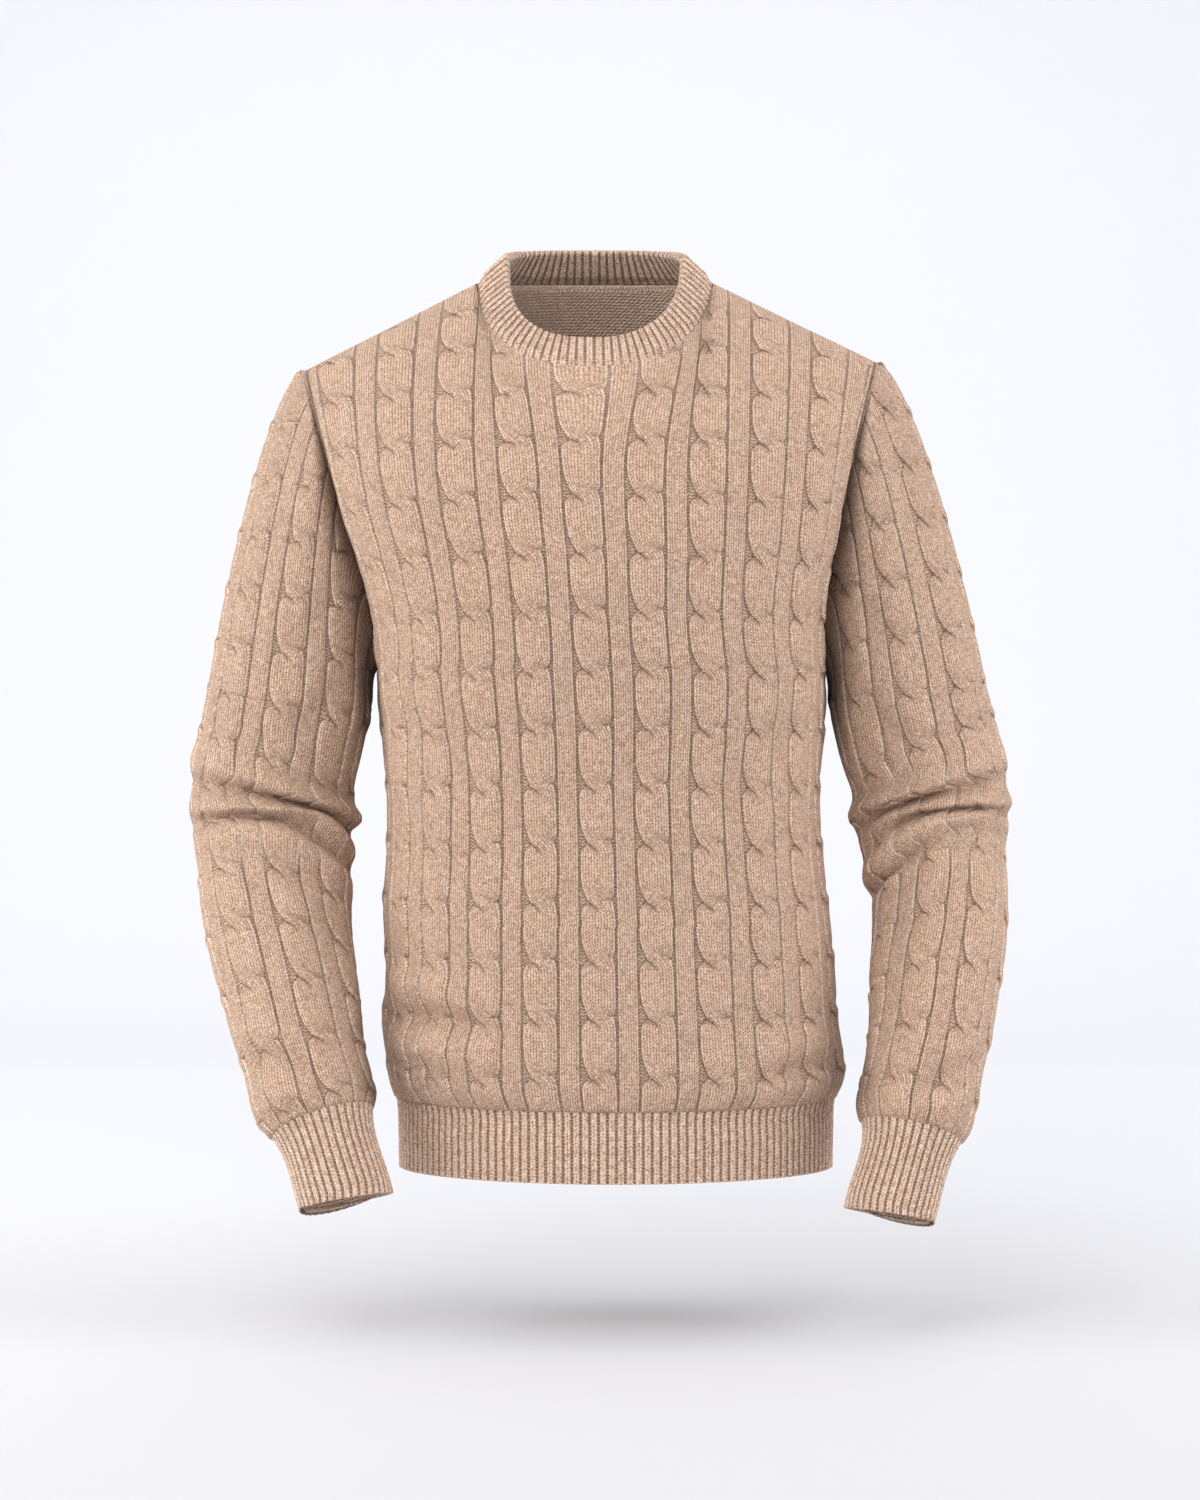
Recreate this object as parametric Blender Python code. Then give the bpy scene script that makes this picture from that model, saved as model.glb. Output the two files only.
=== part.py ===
"""Cable knit sweater: a crew neck pullover filled out as if worn.

Metres, +Z up, -Y to the front, +X to the wearer's left. The origin is the middle of the neck's
foot, at the height where the shoulder seams meet the neckband.

Each piece is one wall of cloth. Its outer points carry the cables or ribs, and its inner
points are plain. A wall is laid out on lines that run up the cloth, as wales do, and rows
that run across it, as courses do.
"""

import functools
import math

import bmesh
import bpy
import numpy as np

# Cloth
WALL = 0.0025
SEAM_GAP = 0.0003
CABLE_PERIOD = 0.0430
FIRST_CROSSING = 0.027
PANEL_CABLES = 5.4
SHOULDER_CABLES = 4.65
PANEL_SHIFT = 0.14
SLEEVE_CABLES = 4.0
SLEEVE_SHIFT = 0.0
CUFF_CABLES = 3.1
CLOSED_UP = 0.15

# A sleeve, a cuff or the neckband stands this far off the piece that it joins
JOIN_GAP = 0.0004

# Where the panels change from one kind of row to the next
RIB_LINE = -0.636
UNDERARM = -0.308
CHEST = -0.172
WAIST = -0.500
WAIST_MIDDLE = 0.0082
HEM_MIDDLE = 0.0100
CHEST_RISE = 1.1
EDGE_RISE = 0.5
CORNER_SOFTNESS = 0.08
CREST_PULL = 1.5

# Armhole: how far its edges stand before and behind the side seam at the chest
ARMHOLE_FRONT = 0.046
ARMHOLE_BACK = 0.052
CREST = 0.005
SHOULDER_TIP = {-1: (-0.2229, CREST, -0.0770), 1: (0.2168, CREST, -0.0710)}

# Neck: the seam and the band's top edge, with the roundness of the wearer's right and left half
NECK_COLUMNS = (
    "half_width", "front", "back", "side_height", "front_height", "back_height", "right", "left"
)
NECK_SEAM = dict(zip(NECK_COLUMNS, (0.090, 0.082, 0.071, -0.009, -0.083, 0.0000, 2.35, 2.05)))
NECK_TOP = dict(zip(NECK_COLUMNS, (0.067, 0.065, 0.058, 0.012, -0.060, 0.0245, 2.70, 2.25)))
NECK_LEAN = 0.6
CREST_RISE = 0.7
NECK_EVENNESS = 0.5
BAND_THICKNESS = 0.005
BAND_ROUND_FROM = 0.88

# Directions across the thickness of the cloth at its rims
ARMHOLE_RIM_OUT = 0.3
NECK_RIM_SIDEWAYS = 0.65
NECK_RIM_FORWARD = 0.82
NECK_RIM_UP = 0.55
CORNER_RIM_UP = 0.75

# Ribs
HEM_BOTTOM = -0.689
HEM_RIBS = 136
NECK_RIBS = 84
CUFF_RIBS = 36
RIB_HEIGHT = 0.0009

# How the walls are divided
EDGE_LINE = 0.12
SEAM_FADE = 0.010
ARMPIT_FADE = (0.025, 0.065)
DENSE_STEP = 0.02
ROW_SAMPLES = 1200
RING_SAMPLES = 720
BELOW_CHEST = 0.1
FRAME_STEP = 0.002
INNER_PANEL_LINES = 14
INNER_SLEEVE_LINES = 14
ARMHOLE_ROWS = 6
SHOULDER_ROWS = 6
SLEEVE_HEAD_ROWS = 10
ROWS_ABOVE_ELBOW = 2
ROWS_BELOW_ELBOW = 10
HEM_SIDES = 68
CUFF_SIDES = 18


class Table:
    """Rows of named columns, read between the rows on a smooth curve."""

    def __init__(self, names, rows):
        values = np.array(rows)
        order = np.argsort(values[:, 0])
        self.place = values[order, 0]
        self.columns = dict(zip(names, values[order].T))

    def read(self, name, place):
        value = self.columns[name]
        slope = np.gradient(value, self.place)
        low = np.clip(np.searchsorted(self.place, place) - 1, 0, len(value) - 2)
        span = self.place[low + 1] - self.place[low]
        t = np.clip((place - self.place[low]) / span, 0.0, 1.0)
        return hermite(value[low], span * slope[low], value[low + 1], span * slope[low + 1], t)


def hermite(start, start_slope, end, end_slope, t):
    """A smooth run from start to end that leaves and arrives with the given slopes."""
    return (
        (2 * t**3 - 3 * t**2 + 1) * start
        + (t**3 - 2 * t**2 + t) * start_slope
        + (3 * t**2 - 2 * t**3) * end
        + (t**3 - t**2) * end_slope
    )


# Level sections of the body: the plain surface between the cables
BODY = Table(
    ("level", "half_width", "middle", "front", "back", "power"),
    (
        (-0.689, 0.1655, 0.0160, 0.1170, 0.1110, 1.95),
        (-0.660, 0.1660, 0.0160, 0.1170, 0.1110, 1.95),
        (-0.636, 0.1675, 0.0160, 0.1175, 0.1115, 1.95),
        (-0.622, 0.1720, 0.0165, 0.1205, 0.1145, 2.20),
        (-0.606, 0.1735, 0.0160, 0.1210, 0.1150, 2.20),
        (-0.592, 0.1730, 0.0140, 0.1205, 0.1145, 2.20),
        (-0.577, 0.1730, 0.0115, 0.1195, 0.1135, 2.20),
        (-0.547, 0.1700, 0.0125, 0.1180, 0.1115, 2.25),
        (-0.516, 0.1695, 0.0105, 0.1165, 0.1095, 2.25),
        (-0.485, 0.1683, 0.0082, 0.1145, 0.1075, 2.30),
        (-0.454, 0.1655, 0.0077, 0.1125, 0.1055, 2.30),
        (-0.423, 0.1640, 0.0069, 0.1110, 0.1045, 2.30),
        (-0.393, 0.1640, 0.0062, 0.1115, 0.1050, 2.30),
        (-0.362, 0.1672, 0.0062, 0.1140, 0.1070, 2.30),
        (-0.331, 0.1700, 0.0054, 0.1180, 0.1100, 2.30),
        (-0.300, 0.1712, 0.0040, 0.1215, 0.1130, 2.30),
        (-0.268, 0.1750, 0.0020, 0.1235, 0.1150, 2.30),
        (-0.245, 0.1810, 0.0010, 0.1240, 0.1160, 2.30),
        (-0.222, 0.1890, 0.0000, 0.1230, 0.1170, 2.30),
        (-0.195, 0.1980, -0.0020, 0.1210, 0.1170, 2.30),
        (-0.172, 0.2045, -0.0030, 0.1180, 0.1160, 2.30),
    ),
)

# Sections of the sleeves across the arm, by the height of their middles
SLEEVE_COLUMNS = ("level", "out", "forward", "half_width", "half_depth")
SLEEVES = {
    -1: Table(
        SLEEVE_COLUMNS,
        (
            (-0.331, 0.2356, 0.0080, 0.0608, 0.0490),
            (-0.362, 0.2427, 0.0100, 0.0605, 0.0485),
            (-0.393, 0.2485, 0.0120, 0.0615, 0.0485),
            (-0.424, 0.2490, 0.0100, 0.0610, 0.0480),
            (-0.454, 0.2465, 0.0000, 0.0570, 0.0470),
            (-0.485, 0.2437, -0.0120, 0.0555, 0.0450),
            (-0.515, 0.2390, -0.0250, 0.0530, 0.0430),
            (-0.544, 0.2320, -0.0375, 0.0505, 0.0415),
            (-0.574, 0.2253, -0.0500, 0.0475, 0.0400),
            (-0.603, 0.2180, -0.0610, 0.0440, 0.0385),
            (-0.625, 0.2115, -0.0695, 0.0435, 0.0380),
            (-0.640, 0.2060, -0.0755, 0.0415, 0.0365),
            (-0.6476, 0.2032, -0.0787, 0.0380, 0.0340),
            (-0.7030, 0.1837, -0.1002, 0.0340, 0.0310),
        ),
    ),
    1: Table(
        SLEEVE_COLUMNS,
        (
            (-0.331, 0.2415, 0.0080, 0.0583, 0.0480),
            (-0.362, 0.2496, 0.0100, 0.0590, 0.0475),
            (-0.393, 0.2575, 0.0120, 0.0585, 0.0475),
            (-0.424, 0.2595, 0.0100, 0.0575, 0.0470),
            (-0.454, 0.2615, 0.0000, 0.0530, 0.0460),
            (-0.485, 0.2635, -0.0120, 0.0500, 0.0440),
            (-0.515, 0.2616, -0.0250, 0.0490, 0.0420),
            (-0.544, 0.2572, -0.0375, 0.0475, 0.0405),
            (-0.574, 0.2536, -0.0500, 0.0445, 0.0390),
            (-0.603, 0.2477, -0.0610, 0.0420, 0.0380),
            (-0.632, 0.2412, -0.0725, 0.0415, 0.0370),
            (-0.647, 0.2375, -0.0785, 0.0400, 0.0355),
            (-0.6544, 0.2357, -0.0813, 0.0366, 0.0330),
            (-0.7130, 0.2175, -0.1018, 0.0325, 0.0300),
        ),
    ),
}
TUBE_TOP = -0.331

# Where a line of a sleeve leaves the armhole and how, by the place round the sleeve: 0 at the
# shoulder tip, 1 at the underarm
SLEEVE_HEAD = Table(
    ("place", "seam", "out", "bulge", "up", "pull", "land"),
    (
        (0.00, 0.00, 0.80, 0.00, -0.60, 0.50, 0.35),
        (0.17, 0.08, 0.70, 0.08, -0.68, 0.50, 0.38),
        (0.33, 0.16, 0.56, 0.13, -0.80, 0.50, 0.45),
        (0.42, 0.24, 0.46, 0.18, -0.86, 0.52, 0.50),
        (0.58, 0.37, 0.25, 0.25, -0.92, 0.58, 0.60),
        (0.70, 0.50, 0.20, 0.26, -0.90, 0.62, 0.70),
        (0.84, 0.74, 0.50, 0.16, -0.60, 0.60, 0.85),
        (0.92, 0.87, 0.82, 0.05, -0.12, 0.45, 0.90),
        (1.00, 1.00, 0.95, 0.00, 0.30, 0.35, 0.90),
    ),
)
CUFF_LEVELS = {-1: (-0.6476, -0.7030), 1: (-0.6544, -0.7130)}

# Lines of one cable repeat, in pitches from the cable's middle: how far each line swings out
# at the widest place and in at the crossing, how high it stands, and how far it is shifted
# up the cloth, in rows, so that the upper strand runs aslant from high left to low right
LINE_COLUMNS = ("name", "offset", "swing", "height", "rise", "shift")
CABLE_LINES = tuple(
    dict(zip(LINE_COLUMNS, row))
    for row in (
        ("left gutter", -0.290, -0.050, 0.0000, 0.0000, 0.00),
        ("left strand", -0.155, -0.045, 0.0021, 0.0007, 0.24),
        ("right strand", 0.155, 0.045, 0.0021, 0.0007, -0.24),
        ("right gutter", 0.290, 0.050, 0.0000, 0.0000, 0.00),
        ("plain strip", 0.500, 0.000, 0.0015, 0.0000, 0.00),
    )
)

# Folds at the elbows: level at the outer side, direction they face round the arm from there,
# half spread round the arm, height (a trough is below zero) and half width along the arm
FOLD_COLUMNS = ("level", "facing", "spread", "height", "half_width")
FOLDS = {
    side: tuple(dict(zip(FOLD_COLUMNS, row)) for row in rows)
    for side, rows in {
        -1: (
            (-0.386, -130.0, 178.0, 0.0065, 0.0085),
            (-0.400, -100.0, 115.0, -0.0075, 0.0062),
            (-0.4145, -110.0, 150.0, 0.0055, 0.0080),
            (-0.4285, -95.0, 105.0, -0.0075, 0.0065),
            (-0.443, -100.0, 130.0, 0.0040, 0.0100),
            (-0.628, -60.0, 150.0, 0.0015, 0.0090),
        ),
        1: (
            (-0.388, -115.0, 150.0, 0.0060, 0.0080),
            (-0.400, -105.0, 95.0, -0.0080, 0.0060),
            (-0.4115, -60.0, 120.0, 0.0050, 0.0070),
            (-0.4215, -95.0, 85.0, -0.0065, 0.0060),
            (-0.4345, -110.0, 150.0, 0.0055, 0.0085),
            (-0.448, -130.0, 80.0, -0.0070, 0.0065),
            (-0.636, -120.0, 150.0, 0.0015, 0.0090),
        ),
    }.items()
}

# The folds drop towards the inner side of the elbow, by this much and ever more steeply, and
# their ridges lean over the troughs below them
FOLD_DROP = {-1: 0.038, 1: 0.030}
FOLD_BEND = 2.5
FOLD_LEAN = 0.2
ELBOW_TOP = -0.374
ELBOW_ROWS = {
    -1: (-0.386, -0.400, -0.4145, -0.4285, -0.4430, -0.4600),
    1: (-0.388, -0.400, -0.4115, -0.4215, -0.4345, -0.4480),
}

WOOL = (0.60, 0.40, 0.29, 1.0)


# ---------------------------------------------------------------- curves and surfaces


def unit(vectors):
    return vectors / np.linalg.norm(vectors, axis=-1, keepdims=True)


def smooth_step(t):
    t = np.clip(t, 0.0, 1.0)
    return t * t * (3 - 2 * t)


def distance(first, second):
    return np.linalg.norm(first - second, axis=-1)


def run_lengths(points):
    """Length along a run of points, from its start."""
    steps = np.linalg.norm(np.diff(points, axis=0), axis=1)
    return np.concatenate(([0.0], np.cumsum(steps)))


def spread_evenly(points, share):
    """Points at the given shares of a run's length."""
    length = run_lengths(points)
    wanted = share * length[-1]
    return np.stack([np.interp(wanted, length, points[:, axis]) for axis in range(3)], axis=1)


def neck_ring(sizes, turn):
    """Points of a ring round the neck; turn 0 is the left side and -90 degrees the front."""
    power = np.where(np.cos(turn) > 0, sizes["left"], sizes["right"])
    bow = np.abs(np.cos(turn)) ** (2 / power) * np.sign(np.cos(turn))
    reach = np.abs(np.sin(turn)) ** (2 / power)
    ahead = np.where(np.sin(turn) < 0, reach, 0.0)
    behind = np.where(np.sin(turn) > 0, reach, 0.0)
    drop = sizes["front_height"] - sizes["side_height"]
    lift = sizes["back_height"] - sizes["side_height"]
    x = sizes["half_width"] * bow
    y = CREST - sizes["front"] * ahead + sizes["back"] * behind
    z = sizes["side_height"] + drop * ahead + lift * behind
    return np.stack([x, y, z], axis=-1)


def neck_share():
    """Share of a panel's half width that the neckline takes."""
    half_width = (SHOULDER_TIP[1][0] - SHOULDER_TIP[-1][0]) / 2
    return NECK_SEAM["half_width"] / half_width


def panel_top(face, across):
    """Shoulder seams and neckline of a panel; face is -1 in front and 1 behind."""
    share = neck_share()
    inside = np.clip(across / share, -1.0, 1.0)
    even = np.pi / 2 * inside
    turn = face * (np.pi / 2 - even - NECK_EVENNESS * (np.arcsin(inside) - even))
    points = neck_ring(NECK_SEAM, turn)
    for side in (-1, 1):
        corner = neck_ring(NECK_SEAM, np.array(0.0 if side > 0 else np.pi))
        part = (np.abs(across) - share) / (1 - share)
        beyond = (across * side > share)[:, None]
        points = np.where(beyond, corner + (SHOULDER_TIP[side] - corner) * part[:, None], points)
    return points


def body_row(face, level, edge, across):
    """One level row of a panel, evenly spaced between its edges."""
    depth = BODY.read("front" if face < 0 else "back", level)
    power = BODY.read("power", level)
    start = math.asin((edge / depth) ** (power / 2))
    angle = np.linspace(np.pi - start, start, ROW_SAMPLES + 1)
    bow = np.abs(np.cos(angle)) ** (2 / power)
    x = BODY.read("middle", level) + BODY.read("half_width", level) * np.sign(np.cos(angle)) * bow
    y = face * depth * np.sin(angle) ** (2 / power)
    points = np.stack([x, y, np.full_like(x, level)], axis=1)
    return spread_evenly(points, (across + 1) / 2)


def panel_row(face, up, across):
    """A row of a panel: up runs 0 to 1 to the underarm, to 2 at the chest, to 3 at the top."""
    if up <= 1:
        return body_row(face, RIB_LINE + (UNDERARM - RIB_LINE) * up, 0.0, across)
    if up <= 2:
        reach = ARMHOLE_FRONT if face < 0 else ARMHOLE_BACK
        edge = reach * math.sqrt(1 - (2 - up) ** 2)
        return body_row(face, UNDERARM + (CHEST - UNDERARM) * (up - 1), edge, across)
    chest = panel_row(face, 2.0, across)
    below = panel_row(face, 2.0 - BELOW_CHEST, across)
    aside = CORNER_SOFTNESS * (3 - up) * (1 - across**2)
    top = panel_top(face, across - aside) + 2 * panel_top(face, across)
    top = (top + panel_top(face, across + aside)) / 4
    reach = np.linalg.norm(top - chest, axis=1, keepdims=True)
    slope = (chest - below) / (chest - below)[:, 2:]
    share = neck_share()
    crest = smooth_step(np.abs(across) / share)[:, None]
    beyond = np.clip((np.abs(across) - share) / (1 - share), 0.0, 1.0)
    rise = slope * (top - chest)[:, 2:] * (CHEST_RISE + EDGE_RISE * np.abs(across[:, None]) ** 3)
    at_neck = unit(np.array([0.0, -NECK_LEAN * face, 1.0])) * reach
    steep = CREST_RISE * (1 - beyond) ** 2
    over = unit(np.stack([0 * beyond, -face + 0 * beyond, steep], axis=1))
    at_crest = over * CREST_PULL * np.abs((top - chest)[:, 1:2])
    arrive = at_neck * (1 - crest) + at_crest * crest
    return hermite(chest, rise, top, arrive, up - 2)


def squeeze(line, half, full):
    """Place of a line where fewer cables fit: the outer lines close up to the edge."""
    closed = half - CLOSED_UP * (full - np.abs(line))
    return np.sign(line) * np.minimum(np.abs(line), closed)


def sleeve_frame(side, level):
    """Middle of a sleeve's section and its axes: outward, back and down the arm."""
    table = SLEEVES[side]

    def middle(at):
        return np.stack([side * table.read("out", at), table.read("forward", at), at], axis=-1)

    level = np.asarray(level, dtype=float)
    down = unit(middle(level - FRAME_STEP) - middle(level + FRAME_STEP))
    outward = unit(np.array([side, 0.0, 0.0]) - down * down[..., :1] * side)
    back = np.cross(outward, down) * side
    return middle(level), outward, back, down


def fold_height(side, level, turn):
    """How far the elbow folds push the plain surface of a sleeve out or in."""
    height = np.zeros(len(turn))
    for fold in FOLDS[side]:
        turned = (np.degrees(turn) - fold["facing"] + 180.0) % 360.0 - 180.0
        window = np.cos(np.pi / 2 * np.clip(turned / fold["spread"], -1.0, 1.0)) ** 2
        along = (level - fold["level"]) / fold["half_width"]
        height += fold["height"] * window * np.exp(-(along**2))
    return height


def tube_row(side, level, around):
    """A ring of a sleeve below the armpit; at the elbow it follows the folds."""
    end = CUFF_LEVELS[side][0]
    turn = np.linspace(-np.pi, np.pi, RING_SAMPLES + 1)
    bent = smooth_step((TUBE_TOP - level) / (TUBE_TOP - ELBOW_TOP))
    bent *= smooth_step((level - end) / (ELBOW_ROWS[side][-1] - end))
    levels = level - FOLD_DROP[side] * bent * ((1 - np.cos(turn)) / 2) ** FOLD_BEND
    middle, outward, back, down = sleeve_frame(side, levels)
    height = fold_height(side, level, turn)
    wide = SLEEVES[side].read("half_width", levels) + height
    deep = SLEEVES[side].read("half_depth", levels) + height
    ring = middle + outward * (wide * np.cos(turn))[:, None] + back * (deep * np.sin(turn))[:, None]
    ring += down * (FOLD_LEAN * height)[:, None]
    return spread_evenly(ring, (around + 1) / 2)


@functools.lru_cache(maxsize=None)
def armhole_loop(side):
    """Places and points round an armhole: -1 and 1 are the underarm, 0 the shoulder tip."""
    rows = panel_rows()
    rows = rows[rows >= 1]
    edge = np.array([float(side)])
    front = np.array([panel_row(-1, up, edge)[0] for up in rows])
    back = np.array([panel_row(1, up, edge)[0] for up in rows[::-1]])
    before = run_lengths(front) / run_lengths(front)[-1] - 1
    behind = run_lengths(back) / run_lengths(back)[-1]
    return np.concatenate([before, behind[1:]]), np.concatenate([front, back[1:]])


def seam_places(around):
    """Places on the armhole seam at which the lines of a sleeve start."""
    return np.sign(around) * SLEEVE_HEAD.read("seam", np.abs(around))


def sleeve_row(side, run, around):
    """A row of a sleeve: run goes 0 to 1 from the armhole to the tube, and to 2 at the cuff."""
    end = CUFF_LEVELS[side][0]
    if run >= 1:
        return tube_row(side, TUBE_TOP + (end - TUBE_TOP) * (run - 1), around)
    place, loop = armhole_loop(side)
    seam = seam_places(around)
    start = np.stack([np.interp(seam, place, loop[:, axis]) for axis in range(3)], axis=1)
    tube = tube_row(side, TUBE_TOP, around)
    reach = np.linalg.norm(tube - start, axis=1)
    names = ("out", "bulge", "up", "pull", "land")
    out, bulge, up, pull, land = (SLEEVE_HEAD.read(name, np.abs(around)) for name in names)
    leave = unit(np.stack([out * side, bulge * np.sign(around), up], axis=1))
    _, _, _, down = sleeve_frame(side, TUBE_TOP)
    leave_slope = leave * (pull * reach)[:, None]
    arrive_slope = down * (land * reach)[:, None]
    return hermite(start, leave_slope, tube, arrive_slope, run)


# ---------------------------------------------------------------- lines and rows


def repeat_lines(full, shift):
    """The cable lines between two edges that stand full pitches from the middle."""
    edge = dict(zip(LINE_COLUMNS, ("edge", 0.0, 0.0, 0.0, 0.0, 0.0)))
    lines = [(-full, edge)]
    for repeat in range(-math.ceil(full) - 1, math.ceil(full) + 2):
        for line in CABLE_LINES:
            place = repeat + line["offset"] - shift
            if abs(place) < full - EDGE_LINE:
                lines.append((place, line))
    lines.append((full, edge))
    names = LINE_COLUMNS[2:]
    columns = {name: np.array([line[name] for _, line in lines]) for name in names}
    columns["place"] = np.array([place for place, _ in lines])
    return columns


def laid_out(row, runs, places, spread):
    """Dense points and normals of a surface on lines given in pitches from the middle."""
    points = np.array([row(run, spread(run, line_places)) for run, line_places in zip(runs, places)])
    along = np.gradient(points, axis=0)
    beside = np.gradient(points, axis=1)
    return points, unit(np.cross(beside, along))


def read_lines(values, runs, wanted):
    """Values on dense rows, read at one wanted run for each row and line."""
    result = np.empty(wanted.shape + values.shape[2:])
    for line in range(values.shape[1]):
        for axis in range(values.shape[2]):
            result[:, line, axis] = np.interp(wanted[:, line], runs, values[:, line, axis])
    return result


def cabled(row, runs, rows, courses, lines, spread, hand):
    """Plain points, normals and heights of a cabled surface on its rows and lines.

    Courses counts the cable repeats up to each row: a crossing at each whole number."""
    course = np.interp(runs, rows, courses)[:, None]
    swing = -lines["swing"] * np.cos(2 * np.pi * course)
    swing[[0, -1]] = 0.0
    dense, normals = laid_out(row, runs, lines["place"] + swing, spread)
    aslant = hand * lines["shift"]
    steps = (np.diff(rows) * np.isclose(np.diff(courses), 0.5))[:, None]
    wanted = np.tile(rows[:, None], (1, dense.shape[1]))
    wanted[1:-1] += aslant * np.where(aslant > 0, steps[1:], steps[:-1])
    base = read_lines(dense, runs, wanted)
    normals = unit(read_lines(normals, runs, wanted))
    height = lines["height"] + lines["rise"] * np.cos(2 * np.pi * np.array(courses))[:, None]
    fade = np.minimum(
        np.minimum(distance(base, base[:1]), distance(base, base[-1:])),
        np.minimum(distance(base, base[:, :1]), distance(base, base[:, -1:])),
    )
    height = height * smooth_step(fade / SEAM_FADE)
    for side in (-1.0, 1.0):
        armpit = panel_row(-1, 1.0, np.array([side]))[0]
        start, end = ARMPIT_FADE
        height = height * smooth_step((distance(base, armpit) - start) / (end - start))
    return base, normals, height


# ---------------------------------------------------------------- walls


class Wall:
    """The points and faces of one closed wall of cloth."""

    def __init__(self):
        self.points = []
        self.faces = []

    def place(self, points):
        """Adds an array of points and returns their numbers in an array of the same layout."""
        points = np.asarray(points)
        flat = points.reshape(-1, 3)
        start = len(self.points)
        self.points.extend(flat)
        return np.arange(start, start + len(flat)).reshape(points.shape[:-1])

    def band(self, first, second):
        """Faces between two runs of points with the same count."""
        for i in range(len(first) - 1):
            self.faces.append((first[i], first[i + 1], second[i + 1], second[i]))

    def sheet(self, rows):
        for lower, upper in zip(rows[:-1], rows[1:]):
            self.band(lower, upper)

    def join(self, first, first_at, second, second_at):
        """Triangles between two runs whose points lie at different places along them."""
        i = j = 0
        while i < len(first) - 1 or j < len(second) - 1:
            first_left = i < len(first) - 1
            second_left = j < len(second) - 1
            if first_left and second_left:
                first_next = first_at[i] + first_at[i + 1] <= second_at[j] + second_at[j + 1]
            else:
                first_next = first_left
            if first_next:
                self.faces.append((first[i], first[i + 1], second[j]))
                i += 1
            else:
                self.faces.append((first[i], second[j + 1], second[j]))
                j += 1

    def build(self, name, collection):
        mesh = bpy.data.meshes.new(name)
        mesh.from_pydata([tuple(map(float, point)) for point in self.points], [], self.faces)
        shape = bmesh.new()
        shape.from_mesh(mesh)
        bmesh.ops.recalc_face_normals(shape, faces=shape.faces)
        shape.to_mesh(mesh)
        shape.free()
        mesh.shade_smooth()
        obj = bpy.data.objects.new(name, mesh)
        collection.objects.link(obj)
        return obj


def closed_run(numbers):
    return np.append(numbers, numbers[0])


def rim_normals_at_armhole(face, side, ups):
    """Direction from the inner to the outer edge of the cloth, from underarm to shoulder tip."""
    turn = np.arccos(np.clip(2 - ups, 0.0, 1.0))
    turn = np.where(ups > 2, np.pi / 2 * (ups - 1), turn)
    low = ((1 + np.cos(turn)) / 2) ** 2
    out = side * (ARMHOLE_RIM_OUT + (1 - ARMHOLE_RIM_OUT) * low)
    return unit(np.stack([out, face * np.sin(turn), -np.cos(turn)], axis=1))


def rim_normals_at_top(face, across):
    """The same along the shoulder seams and the neckline."""
    share = neck_share()
    inside = np.clip(across / share, -1.0, 1.0)
    turn = np.pi / 2 * inside
    up = NECK_RIM_UP + (CORNER_RIM_UP - NECK_RIM_UP) * np.abs(inside)
    neck = np.stack(
        [NECK_RIM_SIDEWAYS * np.sin(turn), NECK_RIM_FORWARD * face * np.cos(turn), up], axis=1
    )
    crest = smooth_step((np.abs(across) - share) / (1 - share) * 2)[:, None]
    return unit(neck * (1 - crest) + np.array([0.0, 0.0, 1.0]) * crest)


# ---------------------------------------------------------------- pieces


def panel_spread(up, places):
    """Shares of a panel's half width at which its lines stand; two end at the neck's corners."""
    lost = math.sqrt(1 - (2 - min(max(up, 1.0), 2.0)) ** 2)
    half = PANEL_CABLES + (SHOULDER_CABLES - PANEL_CABLES) * lost
    across = squeeze(places, half, PANEL_CABLES) / half
    level = RIB_LINE + (UNDERARM - RIB_LINE) * up
    if level < WAIST:
        straight = WAIST_MIDDLE + (HEM_MIDDLE - WAIST_MIDDLE) * (WAIST - level) / (WAIST - RIB_LINE)
        aside = (BODY.read("middle", level) - straight) / (PANEL_CABLES * CABLE_PERIOD)
        across = across - aside * (1 - across**2)
    if up > 2:
        for corner, share in corner_lines():
            across[corner] += (share - across[corner]) * smooth_step(up - 2)
    return np.clip(across, -1.0, 1.0)


@functools.lru_cache(maxsize=None)
def corner_lines():
    """Numbers of the lines that end at the neck's corners, and the corners' places."""
    places = repeat_lines(PANEL_CABLES, PANEL_SHIFT)["place"]
    across = squeeze(places, SHOULDER_CABLES, PANEL_CABLES) / SHOULDER_CABLES
    shares = (-neck_share(), neck_share())
    return [(int(np.argmin(np.abs(across - share))), share) for share in shares]


def even_spread(run, places):
    return places


def panel_rows():
    """Rows of a panel: the rib line, then one at each widest place and each crossing."""
    step = CABLE_PERIOD / 2
    lowest = RIB_LINE + FIRST_CROSSING - step
    body = np.linspace(lowest, UNDERARM, round((UNDERARM - lowest) / step) + 1)
    body_part = (body - RIB_LINE) / (UNDERARM - RIB_LINE)
    armhole_part = 1 + np.arange(1, ARMHOLE_ROWS + 1) * step / (CHEST - UNDERARM)
    shoulder_part = 2 + np.arange(1, SHOULDER_ROWS + 1) / SHOULDER_ROWS
    return np.concatenate([[0.0], body_part, armhole_part, shoulder_part])


def panel_courses():
    """Cable repeats up to each row of a panel, from its lowest crossing."""
    return np.append(-FIRST_CROSSING / CABLE_PERIOD, (np.arange(len(panel_rows()) - 1) - 1) / 2)


def panel_rim(face, rows, across, bottom_normals):
    """Rim directions at the four sides of a panel: bottom, top, right and left edge."""
    top = rim_normals_at_top(face, across)
    edges = []
    for side in (-1, 1):
        edge = np.tile([float(side), 0.0, 0.0], (len(rows), 1))
        upper = rows >= 1
        edge[upper] = rim_normals_at_armhole(face, side, rows[upper])
        edges.append(edge)
    level = unit(bottom_normals * [1.0, 1.0, 0.0])
    return level, top, edges[0], edges[1]


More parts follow.
